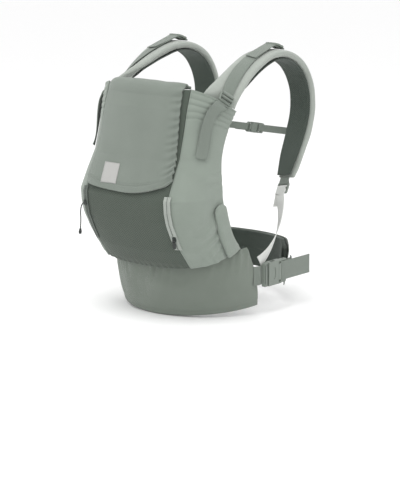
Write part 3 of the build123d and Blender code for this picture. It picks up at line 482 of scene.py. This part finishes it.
def cushion(name, node, voxel, finish, reach=2.5, pressure=4.0, inset=1.2, rounds=3):
    """Remesh, inflate and smooth a copy of a padded CAD solid."""
    piece = merged_copy(name, node)
    remesh = piece.modifiers.new("even", "REMESH")
    remesh.mode = "VOXEL"
    remesh.voxel_size = voxel * 0.001
    soften = piece.modifiers.new("soft", "SMOOTH")
    soften.iterations = 4
    soften.factor = 0.5
    shrink = piece.modifiers.new("smaller", "DISPLACE")
    shrink.strength = -inset * 0.001
    shrink.mid_level = 0.0
    bake(piece)
    rest = np.array([vertex.co for vertex in piece.data.vertices])
    air = piece.modifiers.new("air", "CLOTH")
    air.settings.use_pressure = True
    air.settings.uniform_pressure_force = pressure
    air.settings.effector_weights.gravity = 0.0
    air.settings.quality = 4
    air.point_cache.frame_start = 1
    air.point_cache.frame_end = 14
    for step in range(1, 15):
        bpy.context.scene.frame_set(step)
    bake(piece)
    bpy.context.scene.frame_set(1)
    moved = np.array([vertex.co for vertex in piece.data.vertices]) - rest
    length = np.linalg.norm(moved, axis=1, keepdims=True)
    allowed = np.minimum(length, reach * 0.001)
    settled = rest + moved * allowed / np.maximum(length, 1e-9)
    piece.data.vertices.foreach_set("co", settled.astype(np.float32).reshape(-1))
    even = piece.modifiers.new("even_out", "SMOOTH")
    even.iterations = rounds
    even.factor = 0.5
    bake(piece)
    piece.data.materials.clear()
    piece.data.materials.append(finish)
    smooth(piece.data)
    box_uv(piece.data)
    print(name, len(piece.data.polygons), "faces")
    return piece


def wrinkle(piece, depth, scale):
    """Push a piece's skin in and out by uneven folds."""
    mesh = piece.data
    normals = [vertex.normal.copy() for vertex in mesh.vertices]
    for vertex, normal in zip(mesh.vertices, normals):
        x, y, z = vertex.co
        fold = ripple(x, y, z, scale)
        vertex.co += normal * (fold * depth * 0.001)
    mesh.update()


def webbing(name, node, width_axis, finish, body="carrier", follows=None):
    """A woven band in the shape of its CAD solid, with threads that follow its width.

    When follows is given, the band keeps its place in the world and is attached to no body; the body and
    points that follows names are not used."""
    piece = merged_copy(name, node)
    cloth_edge = piece.modifiers.new("selvedge", "BEVEL")
    cloth_edge.width = 0.00025
    cloth_edge.segments = 1
    cloth_edge.limit_method = "ANGLE"
    cloth_edge.angle_limit = math.radians(50)
    bake(piece)
    piece.data.materials.clear()
    piece.data.materials.append(finish)
    box_uv(piece.data, width_axis)
    if follows:
        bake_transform(piece)
    else:
        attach(piece, body)
    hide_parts(node)
    return piece


# %% [markdown]
# ## Stitches and teeth
# Sewing repeats one small thing along a line, which is what Geometry Nodes are for. The tree takes a
# line of edges, spaces points along it and puts one stitch on each, turned to follow the line. The same
# tree makes the zip's teeth when it is given a shorter, fatter shape set across the line.

# %% The tree that repeats a small shape along a line
def build_repeat_tree():
    tree = bpy.data.node_groups.new("repeat_along_line", "GeometryNodeTree")
    face = tree.interface
    face.new_socket("Geometry", in_out="INPUT", socket_type="NodeSocketGeometry")
    for label, value in (("Spacing", 0.0034), ("Length", 0.0024), ("Width", 0.0007), ("Height", 0.0006)):
        face.new_socket(label, in_out="INPUT", socket_type="NodeSocketFloat").default_value = value
    face.new_socket("Material", in_out="INPUT", socket_type="NodeSocketMaterial")
    face.new_socket("Geometry", in_out="OUTPUT", socket_type="NodeSocketGeometry")
    give = tree.nodes.new("NodeGroupInput")
    take = tree.nodes.new("NodeGroupOutput")
    curve = tree.nodes.new("GeometryNodeMeshToCurve")
    spaced = tree.nodes.new("GeometryNodeResampleCurve")
    spaced.mode = "LENGTH"
    bead = tree.nodes.new("GeometryNodeMeshIcoSphere")
    bead.inputs["Radius"].default_value = 0.5
    bead.inputs["Subdivisions"].default_value = 1
    size = tree.nodes.new("ShaderNodeCombineXYZ")
    shape = tree.nodes.new("GeometryNodeTransform")
    tangent = tree.nodes.new("GeometryNodeInputTangent")
    turn = tree.nodes.new("FunctionNodeAlignEulerToVector")
    turn.axis = "X"
    place = tree.nodes.new("GeometryNodeInstanceOnPoints")
    real = tree.nodes.new("GeometryNodeRealizeInstances")
    paint = tree.nodes.new("GeometryNodeSetMaterial")
    link = tree.links.new
    link(give.outputs["Geometry"], curve.inputs["Mesh"])
    link(curve.outputs["Curve"], spaced.inputs["Curve"])
    link(give.outputs["Spacing"], spaced.inputs["Length"])
    link(give.outputs["Length"], size.inputs[0])
    link(give.outputs["Width"], size.inputs[1])
    link(give.outputs["Height"], size.inputs[2])
    link(bead.outputs["Mesh"], shape.inputs["Geometry"])
    link(size.outputs[0], shape.inputs["Scale"])
    link(spaced.outputs["Curve"], place.inputs["Points"])
    link(shape.outputs["Geometry"], place.inputs["Instance"])
    link(tangent.outputs[0], turn.inputs["Vector"])
    link(turn.outputs[0], place.inputs["Rotation"])
    link(place.outputs["Instances"], real.inputs["Geometry"])
    link(real.outputs["Geometry"], paint.inputs["Geometry"])
    link(give.outputs["Material"], paint.inputs["Material"])
    link(paint.outputs["Geometry"], take.inputs["Geometry"])
    return tree


repeat_tree = build_repeat_tree()


def repeat_along(name, lines, body, finish, spacing=3.4, length=2.4, width=0.8, height=0.7):
    """One plain mesh of small shapes along lines of points in millimetres."""
    points, edges = [], []
    for line in lines:
        first = len(points)
        points += [tuple(mm(*point)) for point in line]
        edges += [(first + i, first + i + 1) for i in range(len(line) - 1)]
    mesh = bpy.data.meshes.new(name)
    mesh.from_pydata(points, edges, [])
    piece = add_object(name, mesh)
    modifier = piece.modifiers.new("repeat", "NODES")
    modifier.node_group = repeat_tree
    sockets = repeat_tree.interface.items_tree
    names = {item.name: item.identifier for item in sockets if item.in_out == "INPUT"}
    for label, value in (("Spacing", spacing), ("Length", length), ("Width", width), ("Height", height)):
        modifier[names[label]] = value * 0.001
    modifier[names["Material"]] = finish
    bake(piece)
    box_uv(piece.data)
    smooth(piece.data)
    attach(piece, body)
    print(name, len(piece.data.polygons), "faces")
    return piece


# %% [markdown]
# ## The waist belt
# The belt is a padded ring that is open at the wearer's left side, with a gathered cloth cover that
# flares a little like a skirt. The cover and the mesh lining are each one panel whose rule goes round an
# ellipse and up a slanting side, so they share one shape at different depths; the padding is inflated
# from its CAD solid.

# %% Belt shape
BELT_RINGS = ((-12, 163, 155), (55, 179, 168), (165, 185, 172))


def belt_half_sizes(z):
    """Half width and half depth of the belt at a height, through its three measured rings."""
    total = [0.0, 0.0]
    for z0, wide, deep in BELT_RINGS:
        share = 1.0
        for z1, _, _ in BELT_RINGS:
            if z1 != z0:
                share *= (z - z1) / (z0 - z1)
        total[0] += share * wide
        total[1] += share * deep
    return total


def belt_seam(y):
    """Height of the belt's top edge: low at the front, high at the sides, lower behind."""
    if y < -72:
        return 112 + 0.3364 * (y + 179)
    return 148 - 0.0859 * (y + 72)


def belt_hem(y, raised=0.0):
    return raised - 2 + 54 * (y + 184) / 368


def belt_point(u, v, inset, raised=0.0, drop=0.0):
    """u runs from the buckle end round the front and back to the far end, v from hem to top."""
    z = 70.0
    for _ in range(6):
        wide, deep = belt_half_sizes(z)
        lean = -27 - 0.2973 * z + 3 * math.sin(v * math.pi)
        start = math.degrees(math.acos(max(-1.0, min(1.0, -lean / deep))))
        corner = 34 * max(0.0, (v - 0.72) / 0.28) ** 2
        finish = -360 + math.degrees(math.acos(-min(0.98, (88 + corner) / deep)))
        angle = math.radians(start + u * (finish - start))
        y = -deep * math.cos(angle)
        z = belt_hem(y, raised) + v * (belt_seam(y) - drop - belt_hem(y, raised))
    wide, deep = belt_half_sizes(z)
    return Vector(((wide - inset) * math.sin(angle), -(deep - inset) * math.cos(angle), z)), angle


# %% Belt cover, padding and lining
def cover_rule(u, v):
    """Outer cloth: gathered at the seam under the pouch, and slack in between."""
    point, angle = belt_point(u, v, 0.0)
    out = Vector((point.x, point.y, 0)).normalized()
    front = max(0.0, -out.y)
    gather = math.sin(angle * 44 + 9 * ripple(angle, 3, v * 0.6, 2.5)) * (0.7 + ripple(angle * 3, 1, 1, 1.0))
    top = crease(v, 1.0, 0.30) * (0.35 + 0.65 * front)
    slack = ripple(math.cos(angle) * 1.4, math.sin(angle) * 1.4, v * 0.9, 2.8)
    broad = math.sin(angle * 13 + 3 * ripple(angle, 1, v, 1.2))
    push = 2.8 * gather * top + 5.0 * slack * math.sin(v * math.pi) + 1.7 * broad * (0.2 + v * 0.6)
    push += 2.2 * math.sin(v * math.pi) ** 0.7 - 2.0 * crease(v, 1.0, 0.035) - 1.2 * crease(v, 0.075, 0.02)
    return point + out * (push if push > 0 else 0.2 * push)


belt_cover_visual, size, area = panel("belt_skirt", cover_rule, 620, 44, 1.6, belt_cloth, 1)
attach(belt_cover_visual, "carrier")
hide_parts("belt_cover")


def lining_rule(u, v):
    """Inner mesh: drawn in at its edges and softly uneven between them."""
    point, angle = belt_point(u, v, 15.2, raised=5.0, drop=1.0)
    out = Vector((point.x, point.y, 0)).normalized()
    sag = 1.2 * ripple(point.x * 0.01, point.y * 0.01, point.z * 0.02, 1.6)
    return point + out * (sag * math.sin(v * math.pi) + 1.0 * crease(v, 0.5, 0.02))


belt_lining_visual, size, area = panel("belt_mesh_lining", lining_rule, 260, 26, 1.4, inner_mesh, -1)
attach(belt_lining_visual, "carrier")
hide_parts("belt_lining")

belt_padding = cushion("belt_padding", "belt_foam", 4.0, lining_and_shade_cloth, reach=0.8, inset=0.3)
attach(belt_padding, "carrier")
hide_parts("belt_foam")

top_line = [cover_rule(i / 300, 0.965) for i in range(301)]
hem_line = [cover_rule(i / 300, 0.075) for i in range(301)]
repeat_along("belt_stitches", [top_line, hem_line], "carrier", sewing_thread)


# %% [markdown]
# ## The pouch
# The pouch's sections change from a flat oval at the waist to a squarer shape at the baby's back. The
# front is spacer mesh, and the two sides are cloth. The cloth is gathered towards the padded leg edge,
# and it is quilted by rows of stitching under the strap, where it carries the weight.

# %% Pouch shape
POUCH_SECTIONS = (
    (88, 150, 168, 2.2),
    (104, 152, 188, 2.3),
    (122, 154, 208, 2.4),
    (151, 157, 228, 2.8),
    (183, 159, 242, 3.3),
    (215, 159, 254, 4.0),
    (238, 159, 259, 4.3),
    (262, 159, 261, 4.3),
    (300, 157, 248, 3.6),
    (341, 153, 233, 3.0),
    (397, 150, 219, 2.8),
    (440, 149, 209, 2.7),
    (500, 149, 189, 2.5),
)
LEG_Y, LEG_Z, LEG_RADIUS = 61.5, 288.0, 201.5
SEAM_X = 107.0


def pouch_numbers(z):
    heights = [section[0] for section in POUCH_SECTIONS]
    return [float(np.interp(z, heights, [section[k] for section in POUCH_SECTIONS])) for k in (1, 2, 3)]


def pouch_front_y(x, z, out=0.0):
    wide, deep, square = pouch_numbers(z)
    share = min(0.9999, abs(x) / (wide + out))
    return -100 - (deep + out - 100) * (1 - share**square) ** (1 / square)


def pouch_bottom(y):
    return 113 + 0.3364 * (y + 179)


def pouch_top(y, top=480.0):
    return top if y < -182 else top - 0.55 * (y + 182)


section_lines = {}


def side_section(z, out, start_x, grow):
    """Points round the left side at one height, from the front seam to the leg opening."""
    key = (round(z * 2), out, start_x, grow)
    if key not in section_lines:
        z = key[0] / 2
        wide, deep, square = pouch_numbers(z)
        wide, deep = wide + out, deep + out - 100
        reach = (LEG_RADIUS + grow) ** 2 - (z - LEG_Z) ** 2
        rear = min(-55.0, LEG_Y - math.sqrt(reach)) if reach > 0 else -55.0
        first = math.asin(min(1.0, (start_x / wide) ** (square / 2)))
        points = []
        for step in range(61):
            angle = first + (math.pi / 2 - first) * step / 60
            y = -100 - deep * max(0.0, math.cos(angle)) ** (2 / square)
            if y > rear:
                break
            points.append((wide * math.sin(angle) ** (2 / square), y))
        points.append((points[-1][0], rear))
        line = np.array(points)
        run = np.concatenate([[0], np.cumsum(np.linalg.norm(np.diff(line, axis=0), axis=1))])
        section_lines[key] = (line, run)
    return section_lines[key]


def side_point(u, v, out=0.0, start_x=SEAM_X + 0.25, grow=0.0, top=484.0):
    """u from the front seam to the leg opening, v from the belt to the strap, on the left side."""
    z = 280.0
    for _ in range(8):
        line, run = side_section(z, out, start_x, grow)
        at = u * run[-1]
        x, y = np.interp(at, run, line[:, 0]), np.interp(at, run, line[:, 1])
        z = pouch_bottom(y) + v * (pouch_top(y, top) - pouch_bottom(y))
    wide, deep, square = pouch_numbers(z)
    share = min(0.999, max(0.0, (-100 - y) / (deep - 100)))
    lean = (share ** (square - 1)) / max(0.05, (x / wide) ** (square - 1)) * wide / (deep - 100)
    return Vector((x, y, z)), Vector((1, -lean, 0)).normalized()


# %% Mesh front
def front_rule(u, v):
    x = (2 * u - 1) * (SEAM_X - 0.25)
    z = 280.0
    for _ in range(6):
        y = pouch_front_y(x, z)
        z = pouch_bottom(y) + v * (480 - pouch_bottom(y))
    swell = 2.4 * math.sin(min(1.0, v / 0.5) * math.pi) * math.cos((2 * u - 1) * math.pi / 2)
    gather = 1.3 * math.sin(x * 0.42 + 2 * ripple(x * 0.02, 0, v, 1.5)) * crease(v, 0.0, 0.035)
    sag = 1.3 * ripple(x * 0.012, z * 0.012, 4.0, 1.0)
    return Vector((x, y - swell - gather - sag * (v < 0.45), z))


front_panel, size, area = panel("front_spacer_mesh", front_rule, 110, 150, 2.6, front_mesh, 1)
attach(front_panel, "carrier")
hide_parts("front_mesh_panel")


# %% Cloth sides
QUILT_ROWS = 5
QUILT_TOP = 0.985
QUILT_STEP = 0.036


def side_folds(u, v):
    """How far the side's cloth stands proud: gathers at the leg edge, rows of quilting at the top."""
    leg = min(1.0, max(0.0, (u - 0.15) / 0.5)) * crease(v, 0.22, 0.24)
    wave = math.sin(v * 70 + 8 * ripple(u * 0.7, v * 2.4, 2, 1.8) - u * 9)
    gather = wave * (0.8 + 0.7 * ripple(u, v * 6, 4, 1.2)) - 0.5 * wave * wave
    slack = ripple(u * 1.3, v * 3.1, 7, 1.5)
    low = math.sin(u * 34 + 4 * ripple(u, v * 2, 9, 1.7)) * crease(v, 0.0, 0.07)
    rows = sum(crease(v, QUILT_TOP - QUILT_STEP * row, 0.006) for row in range(QUILT_ROWS))
    quilt = 0.8 * crease(v, 0.91, 0.09)
    push = 3.0 * leg * gather + 4.0 * slack * math.sin(v * math.pi) + 2.4 * low + 1.6 * quilt - 2.2 * rows
    return push if push > 0 else 0.25 * push


def side_rule(u, v):
    point, face = side_point(u, v)
    return point + face * side_folds(u, v)


def right_side(rule):
    """The same rule on the other side of the carrier."""
    def mirrored(u, v):
        point = rule(u, v)
        return Vector((-point[0], point[1], point[2]))

    return mirrored


for stem, rule in (("left", side_rule), ("right", right_side(side_rule))):
    side, size, area = panel(f"side_cloth_{stem}", rule, 110, 190, 2.6, sage_cloth, 1)
    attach(side, "carrier")
    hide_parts(f"side_panel_{stem}")
    lines = []
    for row in range(QUILT_ROWS):
        lines.append([rule(i / 60, QUILT_TOP - QUILT_STEP * row) for i in range(2, 58)])
    lines.append([rule(0.02, i / 120) for i in range(2, 119)])
    repeat_along(f"side_stitches_{stem}", lines, "carrier", sewing_thread)


# %% Lining and leg edges
def liner_rule(u, v):
    """One sheet inside the front and both sides, from leg opening to leg opening."""
    share = abs(2 * u - 1)
    point, face = side_point(share, v, out=-3.4, start_x=0.5, grow=3.0, top=478.0)
    return Vector((math.copysign(point.x, 2 * u - 1), point.y, point.z))


pouch_lining, size, area = panel("pouch_lining", liner_rule, 160, 110, 1.4, lining_and_shade_cloth, 1)
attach(pouch_lining, "carrier")
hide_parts("pouch_liner")

for stem in ("left", "right"):
    pad = cushion(f"leg_edge_{stem}", f"leg_pad_{stem}", 2.4, sage_cloth, reach=2.2, inset=0.8)
    wrinkle(pad, 0.7, 30)
    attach(pad, "carrier")
    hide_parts(f"leg_pad_{stem}")


# %% [markdown]
# ## The head support
# This padded flap is folded forward over a roll at the pouch's top, and hangs down the front. Its rule
# starts behind the roll, goes over it in part of an ellipse and then follows the pouch. One side edge
# is shirred on a hidden elastic, so it ripples; the other is smooth.

# %% Head support flap
FLAP_OUT = 6.2
FOLD_Z = 466.0
FOLD_SHARE = 0.2  # this much of the flap's length goes over the roll
HEM_SEAM = 0.945


def flap_hem(x):
    return 272 + (26 if x > 0 else 9) * (x / 110) ** 2


def flap_puff(s, v):
    """Padding that thins towards the edges, a hem line, and ripples along the shirred edge."""
    edge = abs(s) ** 12
    hem = crease(v, 1.0, 0.03)
    shirr = math.sin(v * 88 + 3 * ripple(s, v * 3, 2, 2.0)) * max(0.0, (s - 0.72) / 0.28) ** 1.3
    soft = ripple(s * 1.1, v * 1.7, 5.0, 1.3)
    top_folds = math.sin(s * 9 + 3 * ripple(s, 1, 1, 1.5)) * crease(v, 0.12, 0.12)
    hem_seam = crease(v, HEM_SEAM, 0.006)
    padding = 1.6 - 2.6 * edge - 1.8 * hem
    return padding + 2.0 * shirr + 4.0 * soft + 0.8 * top_folds - 0.9 * hem_seam


def flap_rule(u, v):
    s = 2 * u - 1
    if v < FOLD_SHARE:
        along = v / FOLD_SHARE
        half = 96 - 7 * (1 - along) ** 1.5
        x = s * half
        face_y = pouch_front_y(x, FOLD_Z, FLAP_OUT)
        angle = math.radians(150 * (1 - along))
        middle = Vector((x, face_y + 24, FOLD_Z))
        out = Vector((0, -math.cos(angle), math.sin(angle)))
        point = middle + Vector((0, -24 * math.cos(angle), (27 - 3 * s * s) * math.sin(angle)))
    else:
        along = (v - FOLD_SHARE) / (1 - FOLD_SHARE)
        half = 96 + 14 * along
        x = s * half
        corner = 7 * max(0.0, (abs(s) - 0.86) / 0.14) ** 2
        z = FOLD_Z + along * (flap_hem(x) + corner - FOLD_Z)
        x = s * (96 + 14 * (FOLD_Z - z) / 194)
        out = Vector((0.25 * s, -1, 0)).normalized()
        point = Vector((x, pouch_front_y(x, z, FLAP_OUT), z))
    return point + out * flap_puff(s, v)


flap, size, area = panel("head_support", flap_rule, 150, 190, 4.4, flap_cloth, 1)
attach(flap, "head_support")
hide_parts("head_support_flap")

flap_rows = []
for v in (HEM_SEAM, 0.925):
    flap_rows.append([flap_rule(i / 120, v) for i in range(4, 117)])
for u in (0.035, 0.965):
    flap_rows.append([flap_rule(u, FOLD_SHARE + 0.73 * i / 80) for i in range(81)])
repeat_along("head_support_stitches", flap_rows, "head_support", sewing_thread)


# %% Label and neck roll
def on_flap(x, z, out):
    """A point on the flap's face, a little in front of it."""
    along = (FOLD_Z - z) / (FOLD_Z - flap_hem(x))
    point = flap_rule(0.5 + 0.5 * x / (96 + 14 * along), FOLD_SHARE + (1 - FOLD_SHARE) * along)
    return Vector((x, point[1] - out, z))


def label_rule(u, v):
    return on_flap(-62 + 40 * u, 286 + 40 * v, 1.0 + 0.2 * math.sin(u * math.pi) * math.sin(v * math.pi))


label, size, area = panel("blank_label", label_rule, 24, 24, 0.6, label_cloth, 1)
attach(label, "head_support")
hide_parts("flap_label")
border = [(3, 3), (97, 3), (97, 97), (3, 97), (3, 3)]
label_lines = []
for (u0, v0), (u1, v1) in zip(border, border[1:]):
    line = []
    for t in range(11):
        line.append(label_rule((u0 + (u1 - u0) * t / 10) / 100, (v0 + (v1 - v0) * t / 10) / 100))
    label_lines.append(line)
repeat_along(
    "label_stitches",
    label_lines,
    "head_support",
    sewing_thread,
    spacing=2.2,
    length=1.5,
    width=0.5,
    height=0.5,
)

neck_pad = cushion("neck_roll_padding", "neck_roll", 1.8, sage_cloth, reach=0.6, inset=0.4)
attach(neck_pad, "carrier")
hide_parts("neck_roll")


# %% [markdown]
# ## The shoulder straps
# Each strap is a long foam pad in cloth, with spacer mesh on the face that touches the wearer. The pads
# are inflated from their CAD solids. The mesh is a panel along the strap's own line.

# %% Padded straps
STRAP_STATIONS = (
    ((132, -69, 488), (0.55, -0.35, 0.76), 62, 15),
    ((129, -12, 517), (0.20, -0.28, 0.94), 64, 16),
    ((128, 50, 533), (0.02, -0.10, 1.0), 64, 16),
    ((128, 103, 526), (0.0, 0.32, 0.95), 64, 16),
    ((128, 149, 498), (0.03, 0.74, 0.67), 64, 16),
    ((128, 178, 450), (0.08, 0.96, 0.27), 64, 16),
    ((128, 182, 398), (0.10, 0.99, -0.12), 64, 16),
    ((129, 165, 350), (0.12, 0.93, -0.35), 64, 16),
    ((132, 138, 305), (0.20, 0.86, -0.47), 62, 14),
    ((134, 114, 266), (0.24, 0.84, -0.49), 48, 11),
)


def through(values, position):
    """A smooth curve through evenly spaced values."""
    i = min(int(position), len(values) - 2)
    t = position - i
    a, b, c, d = (np.array(values[max(0, min(len(values) - 1, i + k))], float) for k in (-1, 0, 1, 2))
    return 0.5 * (2 * b + (c - a) * t + (2 * a - 5 * b + 4 * c - d) * t * t + (3 * b - a - 3 * c + d) * t**3)


def strap_place(position):
    """Middle, direction across, outward direction, width and thickness along the left strap."""
    centre = through([s[0] for s in STRAP_STATIONS], position)
    ahead = through([s[0] for s in STRAP_STATIONS], min(position + 0.05, 9.0))
    behind = through([s[0] for s in STRAP_STATIONS], max(position - 0.05, 0.0))
    along = Vector(ahead - behind).normalized()
    out = Vector(through([s[1] for s in STRAP_STATIONS], position))
    out = (out - along * out.dot(along)).normalized()
    wide, thick = through([(s[2], s[3]) for s in STRAP_STATIONS], position)
    return Vector(centre), out.cross(along), out, wide, thick


def strap_mesh_rule(u, v):
    centre, across, out, wide, thick = strap_place(9.0 * v)
    s = 2 * u - 1
    quilt = sum(crease(s, row, 0.04) for row in (-0.72, 0.72))
    down = thick / 2 + 4.6 - 0.8 * s * s - 0.7 * quilt + 0.4 * ripple(u * 2, v * 14, 3, 1.4)
    return centre + across * (s * (wide / 2 - 5)) - out * down


def reach_to_loop(pad, side):
    """Draw the pad's lower end down to the loop that holds the end adjuster."""
    end = mm(134 * side, 114, 266)
    down = Vector((0.04 * side, -0.52, -0.85)).normalized()
    for vertex in pad.data.vertices:
        near = (vertex.co - end).dot(down)
        if near > -0.02 and vertex.co.z < 0.3:
            vertex.co += down * (0.0045 * min(1.0, (near + 0.02) / 0.02))
    pad.data.update()


# The pads take the lighter sage cloth, painted light for their lit tops.
for stem in ("left", "right"):
    pad = cushion(f"strap_padding_{stem}", f"shoulder_pad_{stem}", 3.4, sage_cloth_lit, reach=1.7, inset=1.2)
    wrinkle(pad, 0.9, 26)
    reach_to_loop(pad, 1 if stem == "left" else -1)
    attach(pad, "carrier")
    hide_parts(f"shoulder_pad_{stem}")

for stem, rule in (("left", strap_mesh_rule), ("right", right_side(strap_mesh_rule))):
    under, size, area = panel(f"strap_inner_mesh_{stem}", rule, 34, 170, 1.8, inner_mesh, 0)
    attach(under, "carrier")
    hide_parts(f"strap_mesh_{stem}")


# %% [markdown]
# ## Webbing
# Each band of webbing runs through an adjuster and back, and its width lies along the adjuster's bars,
# which is also the axis the adjuster tilts about. The weave is laid out along that axis.

# %% Webbing bands
for stem in ("left", "right"):
    front_axis = joints[f"front_lock_{stem}_tilt"]["axis"]
    top_axis = joints[f"top_lock_{stem}_tilt"]["axis"]
    end_axis = joints[f"end_lock_{stem}_tilt"]["axis"]
    webbing(f"root_webbing_{stem}", f"front_webbing_{stem}", front_axis, sage_webbing)
    webbing(f"shoulder_webbing_{stem}", f"strap_webbing_{stem}", top_axis, sage_webbing)
    webbing(f"shoulder_loop_{stem}", f"top_anchor_{stem}", top_axis, sage_webbing)
    webbing(f"strap_end_loop_{stem}", f"end_anchor_{stem}", end_axis, sage_webbing)
    webbing(
        f"waist_riser_{stem}",
        f"lower_webbing_{stem}",
        end_axis,
        pale_webbing,
    )
chest_axis = joints["chest_strap_height"]["axis"]
webbing("chest_band_left", "chest_webbing_left", chest_axis, sage_webbing, body="chest_strap")
webbing(
    "chest_band_right",
    "chest_webbing_right",
    chest_axis,
    sage_webbing,
    body="chest_strap",
    follows=("chest_plug", (-98, 181, 350), (-26, 181, 350)),
)
webbing("chest_loose_end", "chest_tail", chest_axis, sage_webbing, body="chest_plug")
webbing("waist_loop", "waist_anchor", (0, 0, 1), sage_webbing)
webbing(
    "waist_band",
    "waist_feed",
    (0, 0, 1),
    sage_webbing,
    follows=("waist_plug", (174, 85, 86), (180, 24, 86)),
)
webbing("waist_loose_end", "waist_tail", (0, 0, 1), sage_webbing, body="waist_plug")


# %% [markdown]
# ## Zips, their pulls and the thin cord
# Each zip is a tape with one row of interlocked teeth. The teeth are the same Geometry Nodes tree as the
# stitches, set close together. The cord is a real spline with a round bevel, because it hangs freely.

# %% Zip tapes and teeth
def tape_rule(u, v):
    x = 100 + 14 * u
    z = 158 + 114 * v
    return Vector((x, pouch_front_y(x, z, 2.6), z))


# The two tapes are one part mirrored: the near left one takes the lighter sage cloth, painted light, and the
# far right one the dark lining cloth, painted shade.
for stem, rule, finish in (("left", tape_rule, sage_cloth_lit), ("right", right_side(tape_rule), lining_and_shade_cloth)):
    tape, size, area = panel(f"zip_band_{stem}", rule, 12, 60, 1.2, finish, 1)
    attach(tape, "carrier")
    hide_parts(f"zip_tape_{stem}")
    teeth = [rule(0.5, i / 80) for i in range(81)]
    repeat_along(
        f"zip_teeth_{stem}",
        [teeth],
        "carrier",
        zip_teeth_finish,
        spacing=1.5,
        length=1.0,
        width=3.2,
        height=1.0,
    )


# %% Pull cord
cord_points = (
    (-108.713, -260.694, 237.01),
    (-109.513, -265.694, 233.01),
    (-110.713, -267.094, 219.01),
    (-110.313, -266.094, 201.01),
    (-111.313, -266.894, 184.01),
)
cord_curve = bpy.data.curves.new("zip_pull_cord", "CURVE")
cord_curve.dimensions = "3D"
cord_curve.bevel_depth = 0.0012
cord_curve.bevel_resolution = 4
cord_curve.resolution_u = 12
spline = cord_curve.splines.new("NURBS")
spline.points.add(len(cord_points) - 1)
for point, place in zip(spline.points, cord_points):
    point.co = (*mm(*place), 1.0)
spline.order_u = 3
spline.use_endpoint_u = True
pull_cord = add_object("zip_pull_cord", cord_curve)
cord_curve.materials.append(cord_finish)
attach(pull_cord, "zip_cord_right")
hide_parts("zip_cord_right")


# %% [markdown]
# ## Moulded pieces
# The buckles, adjusters, clips and sliders are exact in CAD, so they keep their shape and only take a
# finish. Their plastic has a fine moulded grain and a soft shine.

# %% Finishes of the hard pieces
for name, piece in frame["nodes"].items():
    if piece.hide_render:
        continue
    dark = name.startswith(("zip_toggle", "zip_pull"))
    finish = dark_plastic if dark else moulded_plastic
    if name.startswith("zip_slider"):
        finish = zip_teeth_finish
    if not piece.data.materials:
        piece.data.materials.append(finish)
    for slot in piece.material_slots:
        slot.material = finish
    print("hard piece", name)
